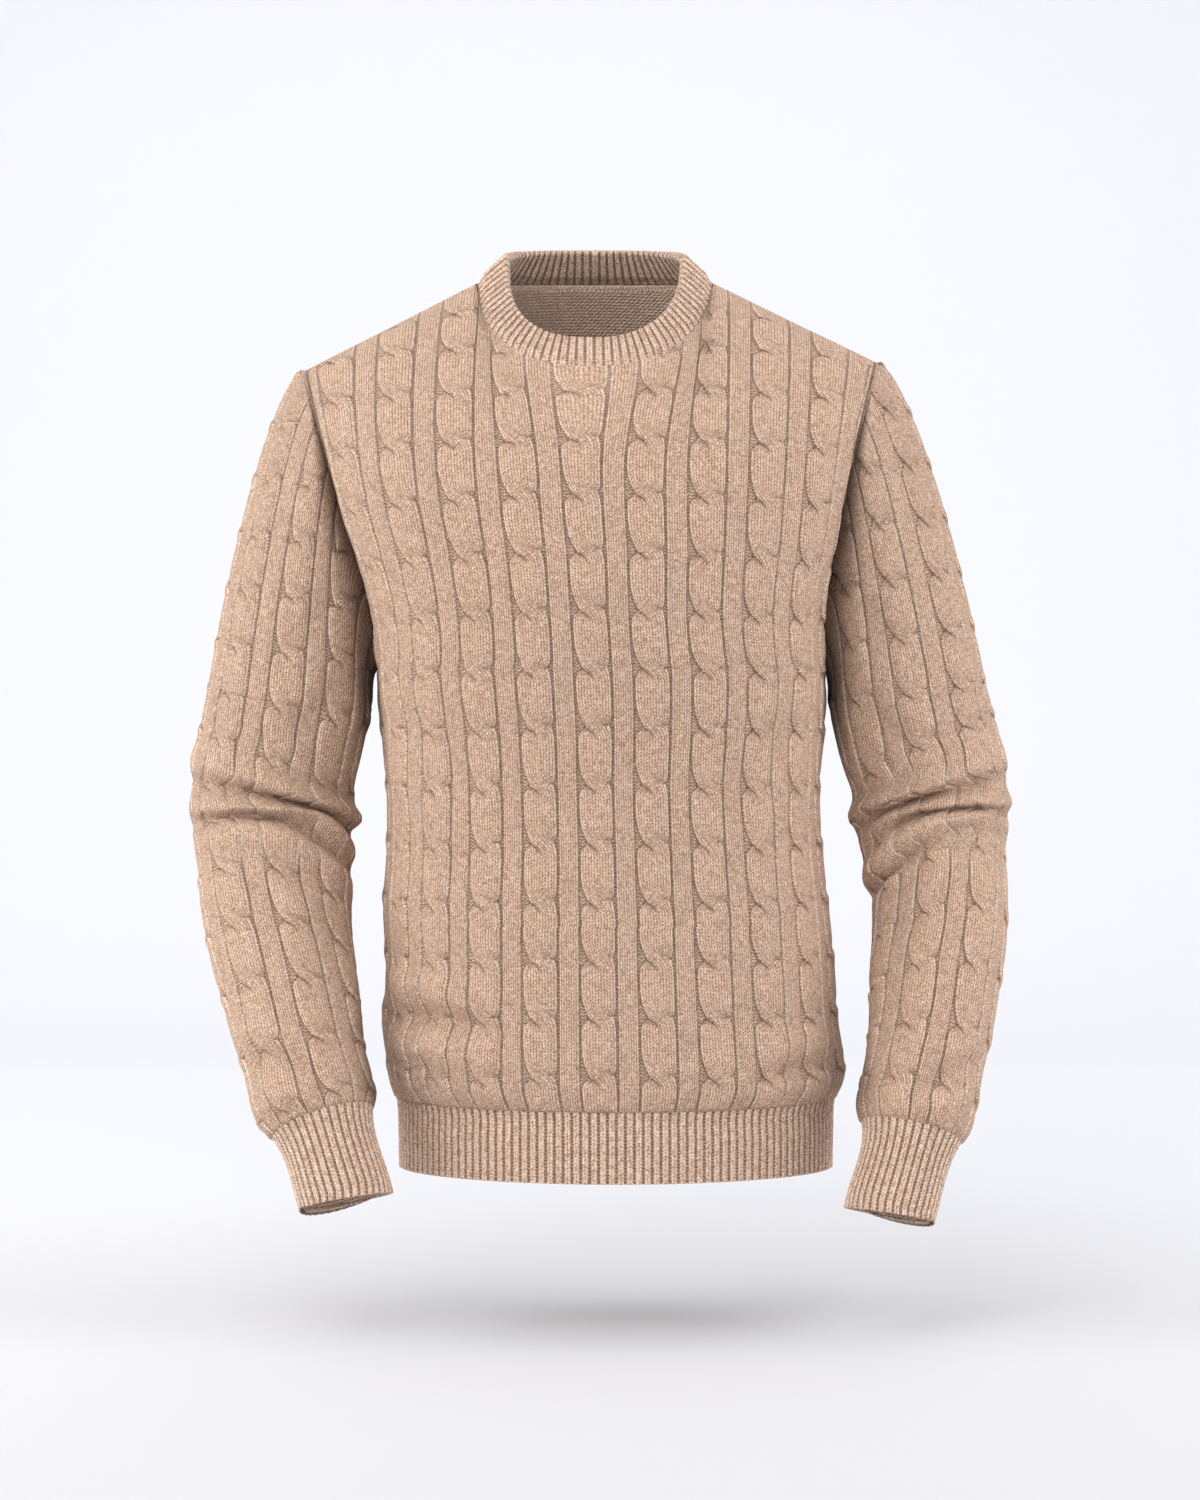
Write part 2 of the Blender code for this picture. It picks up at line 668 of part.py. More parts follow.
def panel(name, face, collection):
    """Front (face -1) or back (face 1)."""

    def row(up, across):
        return panel_row(face, up, across)

    rows = panel_rows()
    runs = np.arange(0.0, 3.0 + DENSE_STEP / 2, DENSE_STEP)
    lines = repeat_lines(PANEL_CABLES, PANEL_SHIFT)
    base, normals, height = cabled(row, runs, rows, panel_courses(), lines, panel_spread, -face)
    normals = -face * normals
    outer = base + normals * height[:, :, None]
    apart = np.array([0.0, face * SEAM_GAP / 2, 0.0])

    top_across = panel_spread(3.0, lines["place"])
    bottom_rim, top_rim, right_rim, left_rim = panel_rim(face, rows, top_across, normals[0])
    inner_edge = base.copy()
    inner_edge[0] -= bottom_rim * WALL
    inner_edge[-1] -= top_rim * WALL
    inner_edge[:, 0] = base[:, 0] - right_rim * WALL
    inner_edge[:, -1] = base[:, -1] - left_rim * WALL

    across = np.linspace(-1.0, 1.0, INNER_PANEL_LINES + 2)
    for side in (-1, 1):
        across[np.argmin(np.abs(across - side * neck_share()))] = side * neck_share()
    plain, plain_normals = laid_out(row, runs, np.tile(across, (len(runs), 1)), even_spread)
    inner_rows = np.append(rows[2:-SHOULDER_ROWS:2], rows[-SHOULDER_ROWS:-1])
    wanted = np.tile(inner_rows[:, None], (1, len(across)))
    plain_normals = -face * unit(read_lines(plain_normals, runs, wanted))
    inner = (read_lines(plain, runs, wanted) - plain_normals * WALL)[:, 1:-1]

    wall = Wall()
    out = wall.place(outer + apart)
    edge = np.full(out.shape, -1)
    for part in (np.s_[0], np.s_[-1], np.s_[1:-1, 0], np.s_[1:-1, -1]):
        edge[part] = wall.place(inner_edge[part] + apart)
    back = wall.place(inner + apart)
    wall.sheet(out)
    wall.sheet(back)
    wall.band(out[0], edge[0])
    wall.band(out[-1], edge[-1])
    wall.band(out[:, 0], edge[:, 0])
    wall.band(out[:, -1], edge[:, -1])
    line_at = lines["place"] / PANEL_CABLES
    wall.join(edge[0], line_at, back[0], across[1:-1])
    wall.join(edge[-1], top_across, back[-1], across[1:-1])
    wall.join(edge[:, 0], rows, back[:, 0], inner_rows)
    wall.join(edge[:, -1], rows, back[:, -1], inner_rows)
    rims = (right_rim, left_rim, top_rim)
    return wall.build(name, collection), base, rims


def sleeve_spread(run, places):
    """Shares of a sleeve's half girth at which its lines stand."""
    half = SLEEVE_CABLES + (CUFF_CABLES - SLEEVE_CABLES) * smooth_step(run - 1)
    return squeeze(places, half, SLEEVE_CABLES) / half


def sleeve_rows(side):
    """Rows of a sleeve, closer together at the elbow, and the cable repeats up to each."""
    end = CUFF_LEVELS[side][0]
    head = np.arange(SLEEVE_HEAD_ROWS) / SLEEVE_HEAD_ROWS
    above = np.linspace(TUBE_TOP, ELBOW_TOP, ROWS_ABOVE_ELBOW + 1)
    elbow = ELBOW_ROWS[side]
    below = np.linspace(elbow[-1], end, ROWS_BELOW_ELBOW + 1)[1:]
    tube = np.concatenate([above, elbow, below])
    steps = np.full(len(head) + len(tube), 0.5)
    first_fold = len(head) + len(above)
    steps[first_fold : first_fold + len(elbow)] = 0.25
    courses = np.cumsum(steps) - steps[0]
    return np.concatenate([head, 1 + (tube - TUBE_TOP) / (end - TUBE_TOP)]), courses


def sleeve(name, side, front, back, collection):
    """A sleeve, open at both ends, that starts on the points of the panels' armhole edges."""

    def row(run, around):
        return sleeve_row(side, run, around)

    rows, courses = sleeve_rows(side)
    runs = np.arange(0.0, 2.0 + DENSE_STEP / 2, DENSE_STEP)
    lines = repeat_lines(SLEEVE_CABLES, SLEEVE_SHIFT)
    base, normals, height = cabled(row, runs, rows, courses, lines, sleeve_spread, -side)
    normals = -side * normals
    outer = base + normals * height[:, :, None]
    apart = np.array([side * JOIN_GAP, 0.0, 0.0])

    edge_column = 0 if side < 0 else -1
    rim = 0 if side < 0 else 1
    panel_up = panel_rows() >= 1
    loop = np.concatenate([front[1][panel_up, edge_column], back[1][panel_up, edge_column][-2:0:-1]])
    loop_rim = np.concatenate([front[2][rim][panel_up], back[2][rim][panel_up][-2:0:-1]])
    front_length = run_lengths(front[1][panel_up, edge_column])
    back_length = run_lengths(back[1][panel_up, edge_column][::-1])
    loop_at = np.concatenate(
        [front_length / front_length[-1] - 1, (back_length / back_length[-1])[1:]]
    )

    around = np.linspace(-1.0, 1.0, INNER_SLEEVE_LINES + 1)
    plain, plain_normals = laid_out(row, runs, np.tile(around, (len(runs), 1)), even_spread)
    straight = len(rows) - ROWS_BELOW_ELBOW
    inner_rows = np.concatenate(
        [rows[1:SLEEVE_HEAD_ROWS:2], rows[SLEEVE_HEAD_ROWS:straight], rows[straight::2]]
    )
    wanted = np.tile(inner_rows[:, None], (1, len(around)))
    plain_normals = -side * unit(read_lines(plain_normals, runs, wanted))
    inner = (read_lines(plain, runs, wanted) - plain_normals * WALL)[:, :-1]

    wall = Wall()
    armhole_out = closed_run(wall.place(loop + apart))
    armhole_in = closed_run(wall.place(loop - loop_rim * WALL + apart))
    out = wall.place(outer[1:, :-1] + apart)
    inside = wall.place(inner + apart)
    out = np.concatenate([out, out[:, :1]], axis=1)
    inside = np.concatenate([inside, inside[:, :1]], axis=1)
    line_at = lines["place"] / SLEEVE_CABLES
    wall.band(armhole_out, armhole_in)
    wall.join(armhole_out, loop_at, out[0], seam_places(line_at))
    wall.join(armhole_in, loop_at, inside[0], seam_places(around))
    wall.sheet(out)
    wall.sheet(inside)
    wall.join(out[-1], line_at, inside[-1], around)
    return wall.build(name, collection)


def rib_offsets(count):
    """Heights of the ridges and valleys of single ribs."""
    return np.where(np.arange(count) % 2 == 0, RIB_HEIGHT, -RIB_HEIGHT / 3)


def ribbed_tube(name, rings, normals, inner_rings, collection):
    """An open tube of ribs: rings of outer points with their normals, over plain inner rings."""
    wall = Wall()
    count = rings.shape[1]
    offsets = rib_offsets(count)[None, :, None]
    out = wall.place(rings + normals * offsets)
    inside = wall.place(inner_rings)
    out = np.concatenate([out, out[:, :1]], axis=1)
    inside = np.concatenate([inside, inside[:, :1]], axis=1)
    out_at = np.linspace(0.0, 1.0, count + 1)
    in_at = np.linspace(0.0, 1.0, inner_rings.shape[1] + 1)
    wall.sheet(out)
    wall.sheet(inside)
    wall.join(out[0], out_at, inside[0], in_at)
    wall.join(out[-1], out_at, inside[-1], in_at)
    return wall.build(name, collection)


def hem_rib(name, collection):
    def ring(level, count):
        share = np.linspace(-1.0, 1.0, count // 2 + 1)
        front = body_row(-1, level, 0.0, share)
        back = body_row(1, level, 0.0, share)
        return np.concatenate([front[:-1], back[:0:-1]])

    def outward(points):
        return unit(np.cross(np.roll(points, -1, 0) - np.roll(points, 1, 0), [0.0, 0.0, 1.0]))

    levels = (RIB_LINE - SEAM_GAP, HEM_BOTTOM)
    rings = np.array([ring(level, 2 * HEM_RIBS) for level in levels])
    normals = np.array([outward(points) for points in rings])
    plain = [ring(level, HEM_SIDES) for level in levels]
    inner = np.array([points - outward(points) * WALL for points in plain])
    return ribbed_tube(name, rings, normals, inner, collection)


def cuff(name, side, collection):
    def ring(level, turn, thinner):
        middle, outward, back, _ = sleeve_frame(side, level)
        wide = SLEEVES[side].read("half_width", level) - thinner
        deep = SLEEVES[side].read("half_depth", level) - thinner
        aside = outward * wide * np.cos(turn)[:, None]
        return middle + aside + back * deep * np.sin(turn)[:, None]

    levels = CUFF_LEVELS[side]
    turn = np.arange(2 * CUFF_RIBS) / (2 * CUFF_RIBS) * 2 * np.pi
    inner_turn = np.arange(CUFF_SIDES) / CUFF_SIDES * 2 * np.pi
    _, _, _, down = sleeve_frame(side, levels[0])
    apart = down * SEAM_GAP + [side * JOIN_GAP, 0.0, 0.0]
    rings = np.array([ring(level, turn, 0.0) for level in levels]) + apart
    normals = np.array([unit(points - points.mean(axis=0)) for points in rings])
    inner = np.array([ring(level, inner_turn, WALL) for level in levels]) + apart
    return ribbed_tube(name, rings, normals, inner, collection)


def neckline(front, back):
    """Corners of the neckline on both panels and their rim directions, once round."""
    corners = []
    rims = []
    for base, rim in ((front[1], front[2][2]), (back[1], back[2][2])):
        across = panel_spread(3.0, repeat_lines(PANEL_CABLES, PANEL_SHIFT)["place"])
        inside = np.abs(across) <= neck_share() + 1e-6
        corners.append(base[-1][inside])
        rims.append(rim[inside])
    points = np.concatenate([corners[0], corners[1][-2:0:-1]])
    return points, np.concatenate([rims[0], rims[1][-2:0:-1]])


def neckband(name, front, back, collection):
    """A folded band of ribs that stands on the neckline."""
    corners, rims = neckline(front, back)
    length = run_lengths(closed_run_points(corners))
    wanted_step = length[-1] / (2 * NECK_RIBS)
    foot = []
    foot_rims = []
    for i in range(len(corners)):
        after = (i + 1) % len(corners)
        count = max(1, round((length[i + 1] - length[i]) / wanted_step))
        share = np.arange(count)[:, None] / count
        foot.append(corners[i] + (corners[after] - corners[i]) * share)
        foot_rims.append(rims[i] + (rims[after] - rims[i]) * share)
    foot = np.concatenate(foot)
    foot_rims = np.concatenate(foot_rims)
    depth = np.where(foot[:, 1] < CREST, NECK_SEAM["front"], NECK_SEAM["back"])
    rounding = np.where(foot[:, 0] > 0, NECK_SEAM["left"], NECK_SEAM["right"]) / 2
    sine = np.sign(foot[:, 1] - CREST) * (np.abs(foot[:, 1] - CREST) / depth) ** rounding
    cosine = np.sign(foot[:, 0]) * (np.abs(foot[:, 0]) / NECK_SEAM["half_width"]) ** rounding
    turn = np.arctan2(sine, cosine)
    top = neck_ring(NECK_TOP, turn)
    lift = np.array([0.0, 0.0, JOIN_GAP])
    rise = top - foot
    outward = unit(np.cross(np.roll(foot, -1, 0) - np.roll(foot, 1, 0), rise))
    offsets = np.resize([RIB_HEIGHT, -RIB_HEIGHT / 3], len(foot))[:, None]
    half = BAND_THICKNESS / 2
    middle = -outward * WALL / 2
    profile = (
        foot,
        foot + rise * BAND_ROUND_FROM + middle + outward * (half + offsets),
        top + middle,
        foot + rise * BAND_ROUND_FROM + middle - outward * (half + offsets),
        foot - foot_rims * WALL,
    )
    wall = Wall()
    rows = wall.place(np.array(profile) + lift)
    rows = np.concatenate([rows, rows[:, :1]], axis=1)
    wall.sheet(np.concatenate([rows, rows[:1]]))
    return wall.build(name, collection)


def closed_run_points(points):
    return np.concatenate([points, points[:1]])


def wool(name):
    material = bpy.data.materials.new(name)
    material.use_nodes = True
    shader = material.node_tree.nodes["Principled BSDF"]
    shader.inputs["Base Color"].default_value = WOOL
    shader.inputs["Roughness"].default_value = 0.95
    shader.inputs["Metallic"].default_value = 0.0
    return material


def clear_scene():
    for obj in list(bpy.data.objects):
        bpy.data.objects.remove(obj, do_unlink=True)


def main():
    clear_scene()
    collection = bpy.data.collections.new("Cable knit sweater")
    bpy.context.scene.collection.children.link(collection)
    front = panel("front", -1, collection)
    back = panel("back", 1, collection)
    for side, hand in ((1, "left"), (-1, "right")):
        sleeve(f"sleeve_{hand}", side, front, back, collection)
        cuff(f"cuff_{hand}", side, collection)
    neckband("neckband", front, back, collection)
    hem_rib("hem_rib", collection)
    for obj in collection.objects:
        obj.data.materials.append(wool(f"{obj.name} wool"))


main()
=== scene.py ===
"""Cable knit sweater, dressed in brushed wool.

Metres, +Z up, -Y to the front, +X to the wearer's left. Every piece is a thin wall of knitted
cloth on the form of its CAD node: cables and ribs stand on the outside, and the stitches are
drawn on coordinates that run up the wales and across the courses.
"""

import functools
import math

import bmesh
import bpy
import numpy as np
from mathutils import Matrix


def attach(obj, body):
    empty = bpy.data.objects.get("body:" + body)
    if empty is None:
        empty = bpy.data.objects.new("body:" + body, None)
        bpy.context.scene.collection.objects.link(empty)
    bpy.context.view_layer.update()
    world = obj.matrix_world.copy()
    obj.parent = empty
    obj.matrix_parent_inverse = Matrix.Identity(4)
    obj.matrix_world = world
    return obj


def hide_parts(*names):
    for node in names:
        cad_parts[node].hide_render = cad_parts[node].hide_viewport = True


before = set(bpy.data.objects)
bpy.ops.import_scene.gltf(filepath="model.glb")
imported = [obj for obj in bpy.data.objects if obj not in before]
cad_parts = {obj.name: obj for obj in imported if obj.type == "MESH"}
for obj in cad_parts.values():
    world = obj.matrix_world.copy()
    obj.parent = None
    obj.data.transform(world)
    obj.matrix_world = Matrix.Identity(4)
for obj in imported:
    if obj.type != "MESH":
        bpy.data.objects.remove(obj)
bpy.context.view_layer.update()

bl_info = {
    "name": "Cable Knit Sweater",
    "version": (1, 0, 0),
    "blender": (4, 5, 0),
    "location": "View3D > Sidebar > Sweater",
    "description": "Knits the pieces of a cable knit sweater on their CAD forms",
    "category": "Object",
}

# Cloth: the wall, the gap that linked edges keep, and the width and height of one stitch
WALL = 0.0025
SEAM_GAP = 0.00005
WALE = 0.0036
COURSE = 0.0025

# Cables: height and width of a repeat, the level of the first crossing over the rib line and of
# one crossing of each sleeve at the armhole, and how many repeats fit half a panel or a sleeve
CABLE_PERIOD = 0.0430
PITCH = 0.0423
FIRST_CROSSING = 0.027
CROSSING_LEVELS = {-1: 0.0045, 1: -0.0070}
PANEL_CABLES = 5.4
SHOULDER_CABLES = 4.65
PANEL_SHIFT = 0.14
SLEEVE_CABLES = 4.0
CUFF_CABLES = 3.1
CLOSED_UP = 0.05

# Levels and form of the panels
RIB_LINE = -0.636
UNDERARM = -0.308
CHEST = -0.172
WAIST = -0.500
WAIST_MIDDLE = 0.0082
HEM_MIDDLE = 0.0100
CHEST_RISE = 1.1
EDGE_RISE = 0.5
CORNER_SOFTNESS = 0.08
CREST_PULL = 1.5

# Armhole: how far its edges stand before and behind the side seam at the chest
ARMHOLE_FRONT = 0.046
ARMHOLE_BACK = 0.052
CREST = 0.005
SHOULDER_TIP = {-1: (-0.2229, CREST, -0.0770), 1: (0.2168, CREST, -0.0710)}

# Neck: the seam and the band's top edge, with the roundness of the wearer's right and left half
NECK_COLUMNS = (
    "half_width", "front", "back", "side_height", "front_height", "back_height", "right", "left"
)
NECK_SEAM = dict(zip(NECK_COLUMNS, (0.090, 0.082, 0.071, -0.009, -0.083, 0.0000, 2.35, 2.05)))
NECK_TOP = dict(zip(NECK_COLUMNS, (0.067, 0.065, 0.058, 0.012, -0.060, 0.0245, 2.70, 2.25)))
NECK_LEAN = 0.6
CREST_RISE = 0.7
NECK_EVENNESS = 0.5

# Neckband: its thickness, where its fold begins, the share of its height over which it grows
# to its full thickness, and the rings of its straight part and of its fold
BAND_THICKNESS = 0.005
BAND_ROUND_FROM = 0.93
BAND_FOOT = 0.25
BAND_FOOT_RINGS = 5
BAND_SIDE_RINGS = 18
BAND_FOLD_RINGS = 5
BAND_FOLD_START = 0.2

# Directions across the thickness of the cloth at its rims
ARMHOLE_RIM_OUT = 0.3
NECK_RIM_SIDEWAYS = 0.65
NECK_RIM_FORWARD = 0.82
NECK_RIM_UP = 0.55
CORNER_RIM_UP = 0.75

# Ribs: the profile of one rib in shares of its height, a line for each number
HEM_BOTTOM = -0.689
HEM_RIBS = 136
NECK_RIBS = 84
CUFF_RIBS = 36
RIB_PROFILE = (-0.35, 0.10, 0.75, 0.98, 0.90, 0.98, 0.75, 0.10)
RIB_LINES = len(RIB_PROFILE)
RIB_HEIGHT = 0.0014
RIB_BRINK = 0.0012

# Where the relief fades: at a seam, at the shoulders, and round the armpit from none to full
SEAM_FADE = 0.0025
SHOULDER_FADE = 0.038
ARMPIT_FADE = (0.008, 0.030)

# Where sleeve and body close in on each other, shade is painted: how far out the painted shade of
# a sleeve reaches at a level, and how deep below the underarm and from which share of its half
# width a panel has it
CLOSE_LEVELS = (-0.34, -0.26, -0.20, -0.14, -0.09)
CLOSE_WIDTHS = (0.026, 0.034, 0.024, 0.009, 0.001)
CLOSE_DEPTH = 0.11
CLOSE_FLANK = 0.985

# How the walls are divided; every fifth row of an outside has one on its plain inside
PANEL_ROWS = (158, 72, 108)
SLEEVE_ROWS = (120, 250)
INSIDE_FROM = 4
INSIDE_STEP = 5
INSIDE_PANEL_LINES = 64
INSIDE_SLEEVE_LINES = 48
HEM_ROWS = 24
INSIDE_HEM_LINES = 272
CUFF_ROWS = 28
INSIDE_CUFF_LINES = 90
ROW_SAMPLES = 1200
RING_SAMPLES = 720
NECK_SAMPLES = 4000
BELOW_CHEST = 0.1
FRAME_STEP = 0.002

FRONT = "front"
BACK = "back"


class Table:
    """Rows of named columns, read between the rows on a smooth curve."""

    def __init__(self, names, rows):
        values = np.array(rows)
        order = np.argsort(values[:, 0])
        self.place = values[order, 0]
        self.columns = dict(zip(names, values[order].T))

    def read(self, name, place):
        value = self.columns[name]
        slope = np.gradient(value, self.place)
        low = np.clip(np.searchsorted(self.place, place) - 1, 0, len(value) - 2)
        span = self.place[low + 1] - self.place[low]
        t = np.clip((place - self.place[low]) / span, 0.0, 1.0)
        return hermite(value[low], span * slope[low], value[low + 1], span * slope[low + 1], t)


def hermite(start, start_slope, end, end_slope, t):
    """A smooth run from start to end that leaves and arrives with the given slopes."""
    return (
        (2 * t**3 - 3 * t**2 + 1) * start
        + (t**3 - 2 * t**2 + t) * start_slope
        + (3 * t**2 - 2 * t**3) * end
        + (t**3 - t**2) * end_slope
    )


# Level sections of the body: the plain surface between the cables
BODY = Table(
    ("level", "half_width", "middle", "front", "back", "power"),
    (
        (-0.689, 0.1655, 0.0160, 0.1170, 0.1110, 1.95),
        (-0.660, 0.1660, 0.0160, 0.1170, 0.1110, 1.95),
        (-0.636, 0.1675, 0.0160, 0.1175, 0.1115, 1.95),
        (-0.622, 0.1720, 0.0165, 0.1205, 0.1145, 2.20),
        (-0.606, 0.1735, 0.0160, 0.1210, 0.1150, 2.20),
        (-0.592, 0.1730, 0.0140, 0.1205, 0.1145, 2.20),
        (-0.577, 0.1730, 0.0115, 0.1195, 0.1135, 2.20),
        (-0.547, 0.1700, 0.0125, 0.1180, 0.1115, 2.25),
        (-0.516, 0.1695, 0.0105, 0.1165, 0.1095, 2.25),
        (-0.485, 0.1683, 0.0082, 0.1145, 0.1075, 2.30),
        (-0.454, 0.1655, 0.0077, 0.1125, 0.1055, 2.30),
        (-0.423, 0.1640, 0.0069, 0.1110, 0.1045, 2.30),
        (-0.393, 0.1640, 0.0062, 0.1115, 0.1050, 2.30),
        (-0.362, 0.1672, 0.0062, 0.1140, 0.1070, 2.30),
        (-0.331, 0.1700, 0.0054, 0.1180, 0.1100, 2.30),
        (-0.300, 0.1712, 0.0040, 0.1215, 0.1130, 2.30),
        (-0.268, 0.1750, 0.0020, 0.1235, 0.1150, 2.30),
        (-0.245, 0.1810, 0.0010, 0.1240, 0.1160, 2.30),
        (-0.222, 0.1890, 0.0000, 0.1230, 0.1170, 2.30),
        (-0.195, 0.1980, -0.0020, 0.1210, 0.1170, 2.30),
        (-0.172, 0.2045, -0.0030, 0.1180, 0.1160, 2.30),
    ),
)

# Sections of the sleeves across the arm, by the height of their middles
SLEEVE_COLUMNS = ("level", "out", "forward", "half_width", "half_depth")
SLEEVES = {
    -1: Table(
        SLEEVE_COLUMNS,
        (
            (-0.331, 0.2356, 0.0080, 0.0608, 0.0490),
            (-0.362, 0.2427, 0.0100, 0.0605, 0.0485),
            (-0.393, 0.2485, 0.0120, 0.0615, 0.0485),
            (-0.424, 0.2490, 0.0100, 0.0610, 0.0480),
            (-0.454, 0.2465, 0.0000, 0.0570, 0.0470),
            (-0.485, 0.2437, -0.0120, 0.0555, 0.0450),
            (-0.515, 0.2390, -0.0250, 0.0530, 0.0430),
            (-0.544, 0.2320, -0.0375, 0.0505, 0.0415),
            (-0.574, 0.2253, -0.0500, 0.0475, 0.0400),
            (-0.603, 0.2180, -0.0610, 0.0440, 0.0385),
            (-0.625, 0.2115, -0.0695, 0.0435, 0.0380),
            (-0.640, 0.2060, -0.0755, 0.0415, 0.0365),
            (-0.6476, 0.2032, -0.0787, 0.0380, 0.0340),
            (-0.7030, 0.1837, -0.1002, 0.0340, 0.0310),
        ),
    ),
    1: Table(
        SLEEVE_COLUMNS,
        (
            (-0.331, 0.2415, 0.0080, 0.0583, 0.0480),
            (-0.362, 0.2496, 0.0100, 0.0590, 0.0475),
            (-0.393, 0.2575, 0.0120, 0.0585, 0.0475),
            (-0.424, 0.2595, 0.0100, 0.0575, 0.0470),
            (-0.454, 0.2615, 0.0000, 0.0530, 0.0460),
            (-0.485, 0.2635, -0.0120, 0.0500, 0.0440),
            (-0.515, 0.2616, -0.0250, 0.0490, 0.0420),
            (-0.544, 0.2572, -0.0375, 0.0475, 0.0405),
            (-0.574, 0.2536, -0.0500, 0.0445, 0.0390),
            (-0.603, 0.2477, -0.0610, 0.0420, 0.0380),
            (-0.632, 0.2412, -0.0725, 0.0415, 0.0370),
            (-0.647, 0.2375, -0.0785, 0.0400, 0.0355),
            (-0.6544, 0.2357, -0.0813, 0.0366, 0.0330),
            (-0.7130, 0.2175, -0.1018, 0.0325, 0.0300),
        ),
    ),
}
TUBE_TOP = -0.331

# Where a line of a sleeve leaves the armhole and how, by the place round the sleeve: 0 at the
# shoulder tip, 1 at the underarm
SLEEVE_HEAD = Table(
    ("place", "seam", "out", "bulge", "up", "pull", "land"),
    (
        (0.00, 0.00, 0.80, 0.00, -0.60, 0.50, 0.35),
        (0.17, 0.08, 0.70, 0.08, -0.68, 0.50, 0.38),
        (0.33, 0.16, 0.56, 0.13, -0.80, 0.50, 0.45),
        (0.42, 0.24, 0.46, 0.18, -0.86, 0.52, 0.50),
        (0.58, 0.37, 0.25, 0.25, -0.92, 0.58, 0.60),
        (0.70, 0.50, 0.20, 0.26, -0.90, 0.62, 0.70),
        (0.84, 0.74, 0.50, 0.16, -0.60, 0.60, 0.85),
        (0.92, 0.87, 0.82, 0.05, -0.12, 0.45, 0.90),
        (1.00, 1.00, 0.95, 0.00, 0.30, 0.35, 0.90),
    ),
)
CUFF_LEVELS = {-1: (-0.6476, -0.7030), 1: (-0.6544, -0.7130)}

# Folds at the elbows: level at the outer side, direction they face round the arm from there,
# half spread round the arm, height (a trough is below zero) and half width along the arm
FOLD_COLUMNS = ("level", "facing", "spread", "height", "half_width")
FOLDS = {
    side: tuple(dict(zip(FOLD_COLUMNS, row)) for row in rows)
    for side, rows in {
        -1: (
            (-0.386, -130.0, 178.0, 0.0065, 0.0085),
            (-0.400, -100.0, 115.0, -0.0075, 0.0062),
            (-0.4145, -110.0, 150.0, 0.0055, 0.0080),
            (-0.4285, -95.0, 105.0, -0.0075, 0.0065),
            (-0.443, -100.0, 130.0, 0.0040, 0.0100),
            (-0.628, -60.0, 150.0, 0.0015, 0.0090),
        ),
        1: (
            (-0.388, -115.0, 150.0, 0.0060, 0.0080),
            (-0.400, -105.0, 95.0, -0.0080, 0.0060),
            (-0.4115, -60.0, 120.0, 0.0050, 0.0070),
            (-0.4215, -95.0, 85.0, -0.0065, 0.0060),
            (-0.4345, -110.0, 150.0, 0.0055, 0.0085),
            (-0.448, -130.0, 80.0, -0.0070, 0.0065),
            (-0.636, -120.0, 150.0, 0.0015, 0.0090),
        ),
    }.items()
}

# The folds drop towards the inner side of the elbow, by this much and ever more steeply, and
# their ridges lean over the troughs below them
FOLD_DROP = {-1: 0.038, 1: 0.030}
FOLD_BEND = 2.5
FOLD_LEAN = 0.2
FOLD_DEPTH = 1.3
ELBOW_TOP = -0.374
ELBOW_END = {-1: -0.4600, 1: -0.4480}

# Between these levels the cables sink into the wool, by a share of their height
ELBOW_REACH = (-0.466, -0.372)
ELBOW_FADE = 0.024
ELBOW_CALM = 0.50
ELBOW_BRINK = 0.0007

